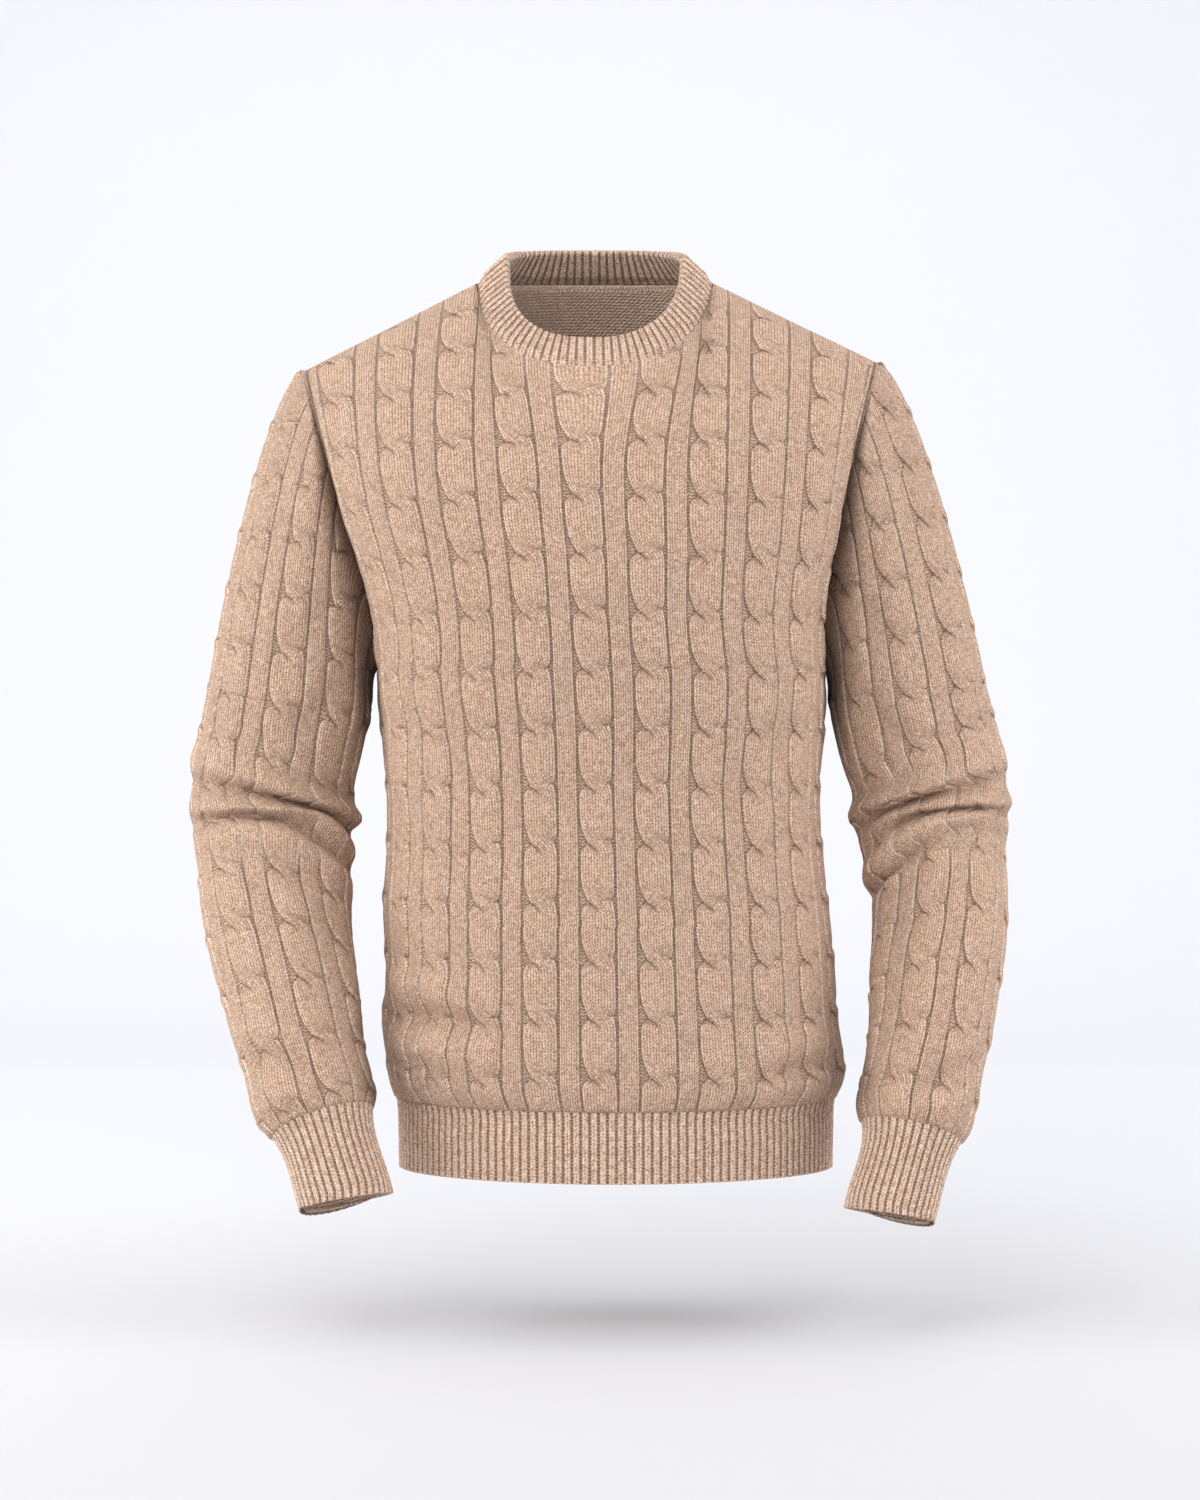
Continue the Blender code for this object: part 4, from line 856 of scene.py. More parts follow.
class Wall:
    """Points, faces and stitch coordinates of one closed wall of cloth."""

    def __init__(self):
        self.points = []
        self.brinks = []
        self.count = 0
        self.faces = []
        self.wales = []
        self.repeats = []
        self.sides = []

    def place(self, points, brinks=PLAIN_BRINK):
        """Adds an array of points and returns their numbers in an array of the same layout."""
        points = np.asarray(points)
        flat = points.reshape(-1, 3)
        start = self.count
        self.points.append(flat)
        self.brinks.append(np.broadcast_to(brinks, points.shape[:-1]).reshape(-1))
        self.count += len(flat)
        return np.arange(start, start + len(flat)).reshape(points.shape[:-1])

    def sheet(self, rows, wales, repeats, side):
        """Quads between rows of points; wales and repeats hold four corners for each quad."""
        quads = four_corners(rows)
        self.faces.extend(quads.reshape(-1, 4).tolist())
        self.wales.append(wales.reshape(-1, 2))
        self.repeats.append(repeats.reshape(-1, 2))
        self.sides.extend([side] * quads[..., 0].size)

    def plain_sheet(self, rows, wales, side):
        """Quads away from any cable."""
        self.sheet(rows, wales, np.full_like(wales, NO_CABLE), side)

    def join(self, first, first_at, second, second_at):
        """Triangles between two runs whose points lie at different places along them."""
        i = j = 0
        while i < len(first) - 1 or j < len(second) - 1:
            first_left = i < len(first) - 1
            second_left = j < len(second) - 1
            if first_left and second_left:
                first_next = first_at[i] + first_at[i + 1] <= second_at[j] + second_at[j + 1]
            else:
                first_next = first_left
            if first_next:
                face = (first[i], first[i + 1], second[j])
                along, courses = (first_at[i], first_at[i + 1], second_at[j]), (0, 0, 1)
                i += 1
            else:
                face = (first[i], second[j + 1], second[j])
                along, courses = (first_at[i], second_at[j + 1], second_at[j]), (0, 1, 1)
                j += 1
            self.faces.append(tuple(map(int, face)))
            self.wales.append(np.array([along, courses]).T * (EDGE_WALES, EDGE_COURSE))
            self.repeats.append(np.full((3, 2), NO_CABLE))
            self.sides.append(INSIDE)

    def build(self, name, materials):
        mesh = bpy.data.meshes.new(name)
        points = np.concatenate(self.points)
        mesh.from_pydata(points.tolist(), [], self.faces)
        for layer, values in (("wales", self.wales), ("repeat", self.repeats)):
            values = np.concatenate(values).astype(np.float32)
            mesh.uv_layers.new(name=layer).uv.foreach_set("vector", values.ravel())
        brinks, armpit_shade_mask = np.concatenate(self.brinks), armpit_closeness(name, points)
        for label, values in (("brink", brinks), ("armpit", armpit_shade_mask)):
            attribute = mesh.attributes.new(label, "FLOAT", "POINT")
            attribute.data.foreach_set("value", values.astype(np.float32))
        for material in materials:
            mesh.materials.append(material)
        mesh.polygons.foreach_set("material_index", np.array(self.sides, dtype=np.int32))
        shape = bmesh.new()
        shape.from_mesh(mesh)
        bmesh.ops.recalc_face_normals(shape, faces=shape.faces)
        for border in shape.edges:
            first, second = border.link_faces
            border.smooth = first.material_index == second.material_index
        shape.to_mesh(mesh)
        shape.free()
        mesh.shade_smooth()
        return add_object(name, mesh)


def armpit_closeness(name, points):
    """How closed in a surface is between sleeve and body under the arms, from 0 to 1: where shade
    is painted.
    """
    x, z = points[:, 0], points[:, 2]
    side = np.where(x < 0, -1, 1)
    edge = np.empty(len(points))
    for hand in (-1, 1):
        place, loop = armhole_loop(hand)
        front = loop[place <= 0]
        body = hand * BODY.read("middle", z) + BODY.read("half_width", z)
        above = np.interp(z, front[:, 2], np.abs(front[:, 0]))
        edge = np.where(side == hand, np.where(z < UNDERARM, body, above), edge)
    if "sleeve" in name:
        width = np.interp(z, CLOSE_LEVELS, CLOSE_WIDTHS)
        return smooth_step(1 - (np.abs(x) - edge) / width) * (width > 0)
    if "panel" in name:
        reach = (z - UNDERARM + CLOSE_DEPTH) / CLOSE_DEPTH * (z < UNDERARM)
        flank = (np.abs(x) / edge - CLOSE_FLANK) / (1 - CLOSE_FLANK)
        return smooth_step(reach) * smooth_step(flank)
    return np.zeros(len(points))


def plain_coordinates(points):
    """Stitch coordinates of a plain sheet, four corners for each quad."""
    across = run_lengths(points.transpose(1, 0, 2)).T / WALE
    return four_corners(np.stack([across, run_lengths(points) / COURSE], axis=-1))


def rim_normals_at_armhole(face, side, ups):
    """Direction from the inner to the outer edge of the cloth, from underarm to shoulder tip."""
    turn = np.arccos(np.clip(2 - ups, 0.0, 1.0))
    turn = np.where(ups > 2, np.pi / 2 * (ups - 1), turn)
    low = ((1 + np.cos(turn)) / 2) ** 2
    out = side * (ARMHOLE_RIM_OUT + (1 - ARMHOLE_RIM_OUT) * low)
    return unit(np.stack([out, face * np.sin(turn), -np.cos(turn)], axis=1))


def rim_at_neck(face, inside):
    """The same along the neckline, by the share of its half width; not yet of unit length."""
    turn = np.pi / 2 * inside
    up = NECK_RIM_UP + (CORNER_RIM_UP - NECK_RIM_UP) * np.abs(inside)
    out = NECK_RIM_SIDEWAYS * np.sin(turn)
    return np.stack([out, NECK_RIM_FORWARD * face * np.cos(turn), up], axis=1)


def rim_normals_at_top(face, across):
    """The same along the shoulder seams and the neckline."""
    share = neck_share()
    neck = rim_at_neck(face, np.clip(across / share, -1.0, 1.0))
    crest = smooth_step((np.abs(across) - share) / (1 - share) * 2)[:, None]
    return unit(neck * (1 - crest) + np.array([0.0, 0.0, 1.0]) * crest)


# ---------------------------------------------------------------- pieces


def panel_cables(up):
    """Cables in half the width of a panel: fewer beside the armholes."""
    lost = math.sqrt(1 - (2 - min(max(up, 1.0), 2.0)) ** 2)
    return PANEL_CABLES + (SHOULDER_CABLES - PANEL_CABLES) * lost


def panel_spread(up, places):
    """Shares of a panel's half width at which its lines stand."""
    half = panel_cables(up)
    across = squeeze(places, half, PANEL_CABLES) / half
    level = RIB_LINE + (UNDERARM - RIB_LINE) * up
    if level < WAIST:
        below = (WAIST - level) / (WAIST - RIB_LINE)
        straight = WAIST_MIDDLE + (HEM_MIDDLE - WAIST_MIDDLE) * below
        aside = (BODY.read("middle", level) - straight) / (PANEL_CABLES * CABLE_PERIOD)
        across = across - aside * (1 - across**2)
    return np.clip(across, -1.0, 1.0)


def divided(counts):
    """Rows of a piece: a whole number for each of its parts, divided by the given counts."""
    parts = [i + np.arange(count) / count for i, count in enumerate(counts)]
    return np.append(np.concatenate(parts), float(len(counts)))


def panel_runs():
    """Rows of a panel from the rib line to the shoulder seams."""
    return divided(PANEL_ROWS)


def inner_panel_edge(face, base, normals, runs, top_across):
    """The base surface with its outermost points moved to the inner edge of the cloth."""
    inner = base.copy()
    inner[0] -= unit(normals[0] * [1.0, 1.0, 0.0]) * WALL
    inner[-1] -= rim_normals_at_top(face, top_across) * WALL
    upper = runs >= 1
    for side, column in ((-1, 0), (1, -1)):
        rim = np.tile([float(side), 0.0, 0.0], (len(runs), 1))
        rim[upper] = rim_normals_at_armhole(face, side, runs[upper])
        inner[:, column] = base[:, column] - rim * WALL
    return inner


def panel(name, face, materials):
    """Front (face -1) or back (face 1)."""
    node = FRONT if face < 0 else BACK

    def row(up, across):
        return panel_row(face, up, across)

    def phase_of(plain):
        return (run_lengths(plain) - FIRST_CROSSING) / CABLE_PERIOD

    runs = panel_runs()
    grid = cabled_grid(
        row, runs, PANEL_CABLES, PANEL_SHIFT, panel_spread, -face, phase_of, panel_cables
    )
    fade_at_seams(grid, SHOULDER_FADE)
    normals = -face * grid.normals
    base = fold_softly(grid.base, node, normals)
    outer = base + normals * grid.height[:, :, None]
    top_across = panel_spread(runs[-1], grid.places[-1])
    inner_edge = inner_panel_edge(face, base, normals, runs, top_across)

    across = np.linspace(-1.0, 1.0, INSIDE_PANEL_LINES)
    picked = np.s_[INSIDE_FROM:-INSIDE_FROM:INSIDE_STEP]
    plain = np.array([row(run, across) for run in runs])
    plain_normals = -face * surface_normals(plain)
    inner = (fold_softly(plain, node, plain_normals) - plain_normals * WALL)[picked, 1:-1]

    wall = Wall()
    apart = np.array([0.0, face * SEAM_GAP / 2, 0.0])
    out = wall.place(outer + apart, grid.brinks)
    edge = np.full(out.shape, -1)
    for part in (np.s_[0], np.s_[-1], np.s_[1:-1, 0], np.s_[1:-1, -1]):
        edge[part] = wall.place(inner_edge[part] + apart)
    back = wall.place(inner + apart)
    wall.sheet(out, grid.wales, grid.repeats, OUTSIDE)
    wall.plain_sheet(back, plain_coordinates(inner), INSIDE)
    sides = (
        (np.s_[0], grid.places[0] / PANEL_CABLES, across[1:-1]),
        (np.s_[-1], top_across, across[1:-1]),
        (np.s_[:, 0], runs, runs[picked]),
        (np.s_[:, -1], runs, runs[picked]),
    )
    for part, at, _ in sides:
        wall.join(out[part], at, edge[part], at)
    for part, at, back_at in sides:
        wall.join(edge[part], at, back[part], back_at)
    return wall.build(name, materials)


def sleeve_cables(run):
    """Cables in half the girth of a sleeve: fewer toward the cuff."""
    return SLEEVE_CABLES + (CUFF_CABLES - SLEEVE_CABLES) * smooth_step(run - 1)


def sleeve_spread(run, places):
    """Shares of a sleeve's half girth at which its lines stand."""
    half = sleeve_cables(run)
    return squeeze(places, half, SLEEVE_CABLES) / half


def armhole_rims(side):
    """Directions from the inner to the outer edge of the cloth round an armhole."""
    ups = panel_runs()
    ups = ups[ups >= 1]
    front, back = (rim_normals_at_armhole(face, side, ups) for face in (-1, 1))
    return np.concatenate([front, back[::-1][1:]])


def sleeve(name, side, materials):
    """A sleeve, open at both ends, from the armhole to the cuff."""
    node = "sleeve_left" if side > 0 else "sleeve_right"

    def row(run, around):
        return sleeve_row(side, run, around)

    def phase_of(plain):
        length = run_lengths(plain)
        head = SLEEVE_ROWS[0]
        above = length[:head] - length[head]
        below = (length[head:] - length[head]).mean(axis=1, keepdims=True)
        below = np.broadcast_to(below, length[head:].shape)
        return (CROSSING_LEVELS[side] - np.concatenate([above, below])) / CABLE_PERIOD

    runs = divided(SLEEVE_ROWS)
    grid = cabled_grid(
        row, runs, SLEEVE_CABLES, 0.0, sleeve_spread, side, phase_of, sleeve_cables
    )
    fade_at_seams(grid, SEAM_FADE)
    calm_at_elbow(grid)
    normals = -side * grid.normals
    outer = fold_softly(grid.base, node, normals) + normals * grid.height[:, :, None]

    around = np.linspace(-1.0, 1.0, INSIDE_SLEEVE_LINES + 1)
    picked = np.append(np.arange(INSIDE_FROM, len(runs) - 1, INSIDE_STEP), len(runs) - 1)
    plain = np.array([row(run, around) for run in runs])
    plain_normals = -side * surface_normals(plain)
    inner = (fold_softly(plain, node, plain_normals) - plain_normals * WALL)[picked]
    inner[:, -1] = inner[:, 0]
    place, loop = armhole_loop(side)

    wall = Wall()
    apart = np.array([side * SEAM_GAP, 0.0, 0.0])
    out = closed(wall.place((outer[:, :-1] + apart)[1:], grid.brinks[1:, :-1]))
    start = closed(wall.place(loop[None, :-1] + apart))[0]
    start_in = closed(wall.place((loop - armhole_rims(side) * WALL)[None, :-1] + apart))[0]
    inside = closed(wall.place(inner[:, :-1] + apart))
    line_at = grid.places[0] / SLEEVE_CABLES
    wall.sheet(out, grid.wales[1:], grid.repeats[1:], OUTSIDE)
    wall.plain_sheet(inside, plain_coordinates(inner), INSIDE)
    wall.join(start, place, out[0], seam_places(line_at))
    wall.join(start, place, start_in, place)
    wall.join(start_in, place, inside[0], seam_places(around))
    wall.join(out[-1], line_at, inside[-1], around)
    return wall.build(name, materials)


def rib_heights(count):
    """Heights of the lines round a ribbed ring, and their distances from a valley."""
    lines = np.resize(np.array(RIB_PROFILE), count)
    return lines * RIB_HEIGHT, lines * RIB_BRINK


def ribbed_coordinates(rings):
    """Stitch coordinates of closed rings of ribs: one wale on each rib."""
    along = closed(run_lengths(rings) / COURSE)
    across = np.broadcast_to(np.arange(rings.shape[1] + 1) / RIB_LINES, along.shape)
    return four_corners(np.stack([across, along], axis=-1))


def ribbed_tube(name, rings, normals, inner_rings, materials):
    """An open tube of ribs: rings of outer points with their normals, over plain inner rings."""
    wall = Wall()
    heights, brinks = rib_heights(rings.shape[1])
    out = closed(wall.place(rings + normals * heights[None, :, None], brinks[None, :]))
    inside = closed(wall.place(inner_rings))
    wall.plain_sheet(out, ribbed_coordinates(rings), OUTSIDE)
    wall.plain_sheet(inside, plain_coordinates(closed(inner_rings)), INSIDE)
    out_at, in_at = (np.linspace(0.0, 1.0, rows.shape[1]) for rows in (out, inside))
    for end in (0, -1):
        wall.join(out[end], out_at, inside[end], in_at)
    return wall.build(name, materials)


def hem_rib(name, materials):
    """The rib round the lower edge of the body."""

    def ring(level, count):
        share = np.linspace(-1.0, 1.0, count // 2 + 1)
        front, back = (body_row(face, level, 0.0, share) for face in (-1, 1))
        return np.concatenate([front[:-1], back[:0:-1]])

    def outward(points):
        return unit(np.cross(np.roll(points, -1, 0) - np.roll(points, 1, 0), [0.0, 0.0, 1.0]))

    levels = np.linspace(RIB_LINE - SEAM_GAP, HEM_BOTTOM, HEM_ROWS)
    rings = np.array([ring(level, RIB_LINES * HEM_RIBS) for level in levels])
    normals = np.array([outward(points) for points in rings])
    inner = [ring(level, INSIDE_HEM_LINES) for level in levels]
    inner = np.array([points - outward(points) * WALL for points in inner])
    return ribbed_tube(name, rings, normals, inner, materials)


def cuff(name, side, materials):
    """The rib at the end of a sleeve."""

    def ring(level, count, thinner):
        turn = np.arange(count) / count * 2 * np.pi
        middle, outward, back, _ = sleeve_frame(side, level)
        wide, deep = (
            SLEEVES[side].read(column, level) - thinner for column in ("half_width", "half_depth")
        )
        points = middle + outward * wide * np.cos(turn)[:, None]
        return points + back * deep * np.sin(turn)[:, None]

    levels = np.linspace(*CUFF_LEVELS[side], CUFF_ROWS)
    _, _, _, down = sleeve_frame(side, levels[0])
    apart = down * SEAM_GAP + [side * SEAM_GAP, 0.0, 0.0]
    rings = np.array([ring(level, RIB_LINES * CUFF_RIBS, 0.0) for level in levels]) + apart
    normals = np.array([unit(points - points.mean(axis=0)) for points in rings])
    inner = np.array([ring(level, INSIDE_CUFF_LINES, WALL) for level in levels]) + apart
    return ribbed_tube(name, rings, normals, inner, materials)


def band_section():
    """Heights of the rings on one face of the neckband, and its thickness there, in shares."""
    fold = np.linspace(BAND_FOLD_START, np.pi / 2, BAND_FOLD_RINGS)
    straight = np.linspace(0.0, BAND_ROUND_FROM, BAND_SIDE_RINGS)
    foot = np.linspace(0.0, 1.0, BAND_FOOT_RINGS) ** 0.5
    full = np.ones(BAND_SIDE_RINGS - BAND_FOOT_RINGS)
    heights = np.concatenate([straight, BAND_ROUND_FROM + (1 - BAND_ROUND_FROM) * np.sin(fold)])
    return heights, np.concatenate([foot, full, np.cos(fold)])


def neckband(name, materials):
    """A folded band of ribs that stands on the neckline."""
    count = RIB_LINES * NECK_RIBS
    dense = np.linspace(0.0, 2 * np.pi, NECK_SAMPLES + 1)
    length = run_lengths(neck_ring(NECK_SEAM, dense))
    turn = np.interp(np.arange(count) / count * length[-1], length, dense)
    foot = neck_ring(NECK_SEAM, turn)
    rise = neck_ring(NECK_TOP, turn) - foot
    face = np.where(foot[:, 1] < CREST, -1.0, 1.0)
    rims = unit(rim_at_neck(face, np.clip(foot[:, 0] / NECK_SEAM["half_width"], -1.0, 1.0)))
    outward = unit(np.cross(np.roll(foot, -1, 0) - np.roll(foot, 1, 0), rise))
    relief, brinks = rib_heights(count)

    def ring(up, wide, hand):
        blend = min(1.0, up / BAND_FOOT)
        thick = BAND_THICKNESS / 2 * wide * blend + relief * min(1.0, wide * up / BAND_FOOT)
        points = foot + rise * up - outward * (WALL / 2 * blend)
        points = points + outward * (hand * thick)[:, None]
        return points if hand > 0 else points - rims * WALL * (1 - blend)

    heights, widths = band_section()
    rings = [ring(up, wide, 1) for up, wide in zip(heights, widths)]
    rings += [ring(up, wide, -1) for up, wide in zip(heights[-2::-1], widths[-2::-1])]
    rings = np.array(rings)
    wall = Wall()
    lift = np.array([0.0, 0.0, SEAM_GAP])
    rows = closed(wall.place(rings + lift, np.broadcast_to(brinks, rings.shape[:2])))
    rows = np.concatenate([rows, rows[:1]])
    coordinates = ribbed_coordinates(np.concatenate([rings, rings[:1]]))
    wall.plain_sheet(rows, coordinates, OUTSIDE)
    return wall.build(name, materials)


# ---------------------------------------------------------------- materials

WOOL_SURFACE = {
    "Roughness": 0.95,
    "Metallic": 0.0,
    "Specular IOR Level": 0.15,
    "Sheen Weight": 0.14,
    "Sheen Roughness": 0.45,
    "Sheen Tint": (1.0, 0.86, 0.74, 1.0),
}

# Distances in from an edge, in metres, between which a tone sets in: the purl of a gutter, the
# painted shade of the dark line at its edge, and the painted highlight on the stitches along the
# edge, on their outer and inner side
GUTTER_START = (0.0007, 0.0001)
GUTTER_SHADE_LINE = (-0.0018, -0.0006)
EDGE_OUTER = (0.0002, 0.0008)
EDGE_INNER = (0.0024, 0.0012)

# Strengths of the tones, from 0 to 1
GUTTER_SHADE = {"cable": 0.30, "rib": 0.36}
PURL_SHADE = 0.16
DEEPEST = 0.9
CREASE_SHADE = 0.8
KNIT_SHADE = 0.70
REVERSE_SHADE = 0.15
REVERSE_LIGHT = 0.3
EDGE_HIGHLIGHT = 0.65
LIGHT_SPECKS = 0.65
DARK_SPECKS = 0.62
# Painted shade under the arms: how strongly it darkens, and its colour
ARMPIT_SHADE_STRENGTH = 0.92
ARMPIT_SHADE = (0.045, 0.017, 0.008, 1.0)

# The shaded line under the upper strand: how far out it starts, its width, and where along the
# repeat it sets in and ends
CREASE_LINE = -0.163
CREASE_WIDTH = (0.042, 0.008)
CREASE_IN = (-0.24, -0.10)
CREASE_END = (0.05, 0.00)


def feed(tree, entry, value):
    """Links a signal to an input, or sets the input to a plain value."""
    if isinstance(value, Signal):
        tree.links.new(value.socket, entry)
    else:
        entry.default_value = value


class Signal:
    """An output of a node, from which further nodes are reckoned."""

    def __init__(self, tree, socket):
        self.tree = tree
        self.socket = socket

    def through(self, kind, values, output=0, **settings):
        """A new node with the given settings and inputs."""
        node = self.tree.nodes.new(kind)
        for name, value in settings.items():
            setattr(node, name, value)
        for label, value in values.items():
            feed(self.tree, node.inputs[label], value)
        return Signal(self.tree, node.outputs[output])

    def math(self, operation, *others):
        values = dict(enumerate((self, *others)))
        return self.through("ShaderNodeMath", values, operation=operation)

    def __add__(self, other):
        return self.math("ADD", other)

    def __sub__(self, other):
        return self.math("SUBTRACT", other)

    def __mul__(self, other):
        return self.math("MULTIPLY", other)

    def scaled(self, factor, offset):
        return self.math("MULTIPLY_ADD", factor, offset)

    def ramp(self, low, high, to_low=0.0, to_high=1.0, smooth=True):
        """Runs from to_low to to_high while the signal runs from low to high."""
        values = dict(enumerate((self, low, high, to_low, to_high)))
        curve = "SMOOTHSTEP" if smooth else "LINEAR"
        return self.through("ShaderNodeMapRange", values, interpolation_type=curve)

    def noise(self, scale, detail, roughness=0.5, distortion=0.0):
        values = {
            "Vector": self, "Scale": scale, "Detail": detail, "Roughness": roughness,
            "Distortion": distortion,
        }
        return self.through("ShaderNodeTexNoise", values, "Fac")

    def bump(self, strength, reach, normal=None):
        values = {"Strength": strength, "Distance": reach, "Height": self}
        if normal is not None:
            values["Normal"] = normal
        return self.through("ShaderNodeBump", values, "Normal")

    def parts(self):
        """The three parts of a vector."""
        node = self.tree.nodes.new("ShaderNodeSeparateXYZ")
        feed(self.tree, node.inputs[0], self)
        return [Signal(self.tree, output) for output in node.outputs]


def source(tree, kind, output=0, **settings):
    """A signal from a node without inputs."""
    node = tree.nodes.new(kind)
    for name, value in settings.items():
        setattr(node, name, value)
    return Signal(tree, node.outputs[output])


def mixed(tree, factor, first, second, kind="RGBA"):
    """A colour or a value: first where the factor is 0, second where it is 1."""
    node = tree.nodes.new("ShaderNodeMix")
    node.data_type = kind
    entries, output = ((0, 6, 7), 2) if kind == "RGBA" else ((0, 2, 3), 0)
    for entry, value in zip(entries, (factor, first, second)):
        feed(tree, node.inputs[entry], value)
    return Signal(tree, node.outputs[output])


def node_group(name, inputs, outputs, effect):
    """A node group whose effect makes a value for each output from its input vectors."""
    tree = bpy.data.node_groups.new(name, "ShaderNodeTree")
    for label in inputs:
        tree.interface.new_socket(name=label, in_out="INPUT", socket_type="NodeSocketVector")
    for label in outputs:
        tree.interface.new_socket(name=label, in_out="OUTPUT", socket_type="NodeSocketFloat")
    start = tree.nodes.new("NodeGroupInput").outputs
    end = tree.nodes.new("NodeGroupOutput").inputs
    for label, value in zip(outputs, effect(*(Signal(tree, start[label]) for label in inputs))):
        feed(tree, end[label], value)
    return tree


def from_group(tree, group, **vectors):
    """The outputs of a node group by their names."""
    node = tree.nodes.new("ShaderNodeGroup")
    node.node_tree = group
    for label, value in vectors.items():
        feed(tree, node.inputs[label], value)
    return {output.name: Signal(tree, output) for output in node.outputs}


def knit_stitches(stitches, place):
    """Height of the knit side, from coordinates that count wales across and courses along."""
    across, along, _ = stitches.parts()
    across = across + place.noise(scale=260.0, detail=1.0).scaled(0.20, -0.10)
    along = along + place.noise(scale=190.0, detail=1.0).scaled(0.7, -0.35)
    side = (across.math("FRACT") - 0.5).math("ABSOLUTE") * 2.0
    loop = ((along + side * -0.75).math("FRACT") * math.pi).math("SINE")
    leg = (side * math.pi).math("SINE").math("MAXIMUM", 0.0).math("POWER", 0.6)
    return (leg * loop.scaled(0.65, 0.35),)


def purl_bumps(stitches, place):
    """Height of the purl side: short bumps across the wales."""
    across, along, _ = stitches.parts()
    along = along + place.noise(scale=220.0, detail=1.0).scaled(0.5, -0.25)
    bow = (across * (2 * math.pi)).math("COSINE") * 0.22
    bump = ((along + bow) * (2 * math.pi)).math("SINE").scaled(0.5, 0.5)
    wide = (across * math.pi).math("SINE").math("ABSOLUTE")
    return (bump * wide.scaled(0.5, 0.5),)


def brushed_fibres(place):
    """Flecks of lighter and darker fibres, their fine height, and single specks of both."""
    fine = place.noise(scale=900.0, detail=3.0, roughness=0.65, distortion=0.6)
    middle = place.noise(scale=320.0, detail=3.0, roughness=0.6, distortion=1.2)
    height = middle.scaled(0.45, fine * 0.55)
    specks = place.noise(scale=820.0, detail=2.0, roughness=0.6, distortion=0.8)
    return height.ramp(0.38, 0.62), height, specks.ramp(0.56, 0.68), specks.ramp(0.44, 0.34)


def crease_shade(repeat):
    """Shade along the lower edge of the upper strand, where it lies on the lower one."""
    x, turn, _ = repeat.parts()
    reach = turn.ramp(-CREASE_START - CREASE_LENGTH, -CREASE_START, smooth=False)
    line = reach * reach * CREASE_LINE
    near = (x - line).math("ABSOLUTE").ramp(*CREASE_WIDTH)
    return near * (turn.ramp(*CREASE_IN) * turn.ramp(*CREASE_END))


def wool(name, groups, settings, kind):
    """Brushed wool: kind is cable, rib or purl."""
    material = bpy.data.materials.new(name)
    material.use_nodes = True
    tree = material.node_tree
    shader = tree.nodes["Principled BSDF"]
    for label, value in WOOL_SURFACE.items():
        shader.inputs[label].default_value = value
    tones = (settings.light_wool, settings.dark_wool, settings.shade_wool, settings.edge_highlight_and_fleck_wool)
    light, dark, shade, edge = (tuple(tone) + (1.0,) for tone in tones)

    stitches = source(tree, "ShaderNodeUVMap", uv_map="wales")
    place = source(tree, "ShaderNodeTexCoord", "Object")
    fibres = from_group(tree, groups["fleece"], Place=place)
    purl = from_group(tree, groups["purl"], Stitches=stitches, Place=place)["Height"]
    colour = mixed(tree, fibres["Fleck"], dark, light)
    if kind == "purl":
        height = purl
        shaded = mixed(tree, REVERSE_SHADE, colour, shade)
        colour = mixed(tree, height.ramp(0.0, 0.6), shaded, colour)
        colour = mixed(tree, REVERSE_LIGHT, colour, edge)
    else:
        knit = from_group(tree, groups["knit"], Stitches=stitches, Place=place)["Height"]
        depth = source(tree, "ShaderNodeAttribute", "Fac", attribute_name="brink")
        in_gutter = depth.ramp(*GUTTER_START)
        height = mixed(tree, in_gutter, knit, purl, "FLOAT")
        shaded = mixed(tree, KNIT_SHADE, colour, shade)
        colour = mixed(tree, height.ramp(0.05, 0.75), shaded, colour)
        # Painted highlight on the stitches along each edge, as if they catch the light
        edge_highlight = depth.ramp(*EDGE_OUTER) * depth.ramp(*EDGE_INNER) * fibres["Fleck"] * EDGE_HIGHLIGHT
        colour = mixed(tree, edge_highlight, colour, edge)
        # Painted shade: a dark line along the edges of each gutter, where the cloth dips in
        line = in_gutter * depth.ramp(*GUTTER_SHADE_LINE)
        bumps = in_gutter * height.ramp(0.8, 0.1, 0.0, PURL_SHADE)
        deep = line.scaled(GUTTER_SHADE[kind], bumps).math("MINIMUM", DEEPEST)
        colour = mixed(tree, deep, colour, shade)
    if kind == "cable":
        crease = crease_shade(source(tree, "ShaderNodeUVMap", uv_map="repeat"))
        colour = mixed(tree, crease * CREASE_SHADE, colour, shade)
    colour = mixed(tree, fibres["Light specks"] * LIGHT_SPECKS, colour, edge)
    colour = mixed(tree, fibres["Dark specks"] * DARK_SPECKS, colour, dark)
    # Painted shade under the arms, where sleeve and body close in
    if kind == "cable":
        armpit = source(tree, "ShaderNodeAttribute", "Fac", attribute_name="armpit")
        colour = mixed(tree, armpit * ARMPIT_SHADE_STRENGTH, colour, ARMPIT_SHADE)
    feed(tree, shader.inputs["Base Color"], colour)
    fine = fibres["Height"].bump(strength=0.55, reach=0.0008)
    normal = height.bump(strength=1.0, reach=0.0010, normal=fine)
    feed(tree, shader.inputs["Normal"], normal)
    return material


@functools.lru_cache(maxsize=None)
def node_groups():
    both = ("Stitches", "Place")
    fleece = ("Fleck", "Height", "Light specks", "Dark specks")
    return {
        "knit": node_group("Knit stitches", both, ("Height",), knit_stitches),
        "purl": node_group("Purl bumps", both, ("Height",), purl_bumps),
        "fleece": node_group("Brushed fibres", ("Place",), fleece, brushed_fibres),
    }


@functools.lru_cache(maxsize=None)
def shared_wool(kind):
    names = {"cable": "cable knit wool", "rib": "ribbed wool", "purl": "reverse of the knit"}
    return wool(names[kind], node_groups(), bpy.context.scene.sweater_wool, kind)


# ---------------------------------------------------------------- stage

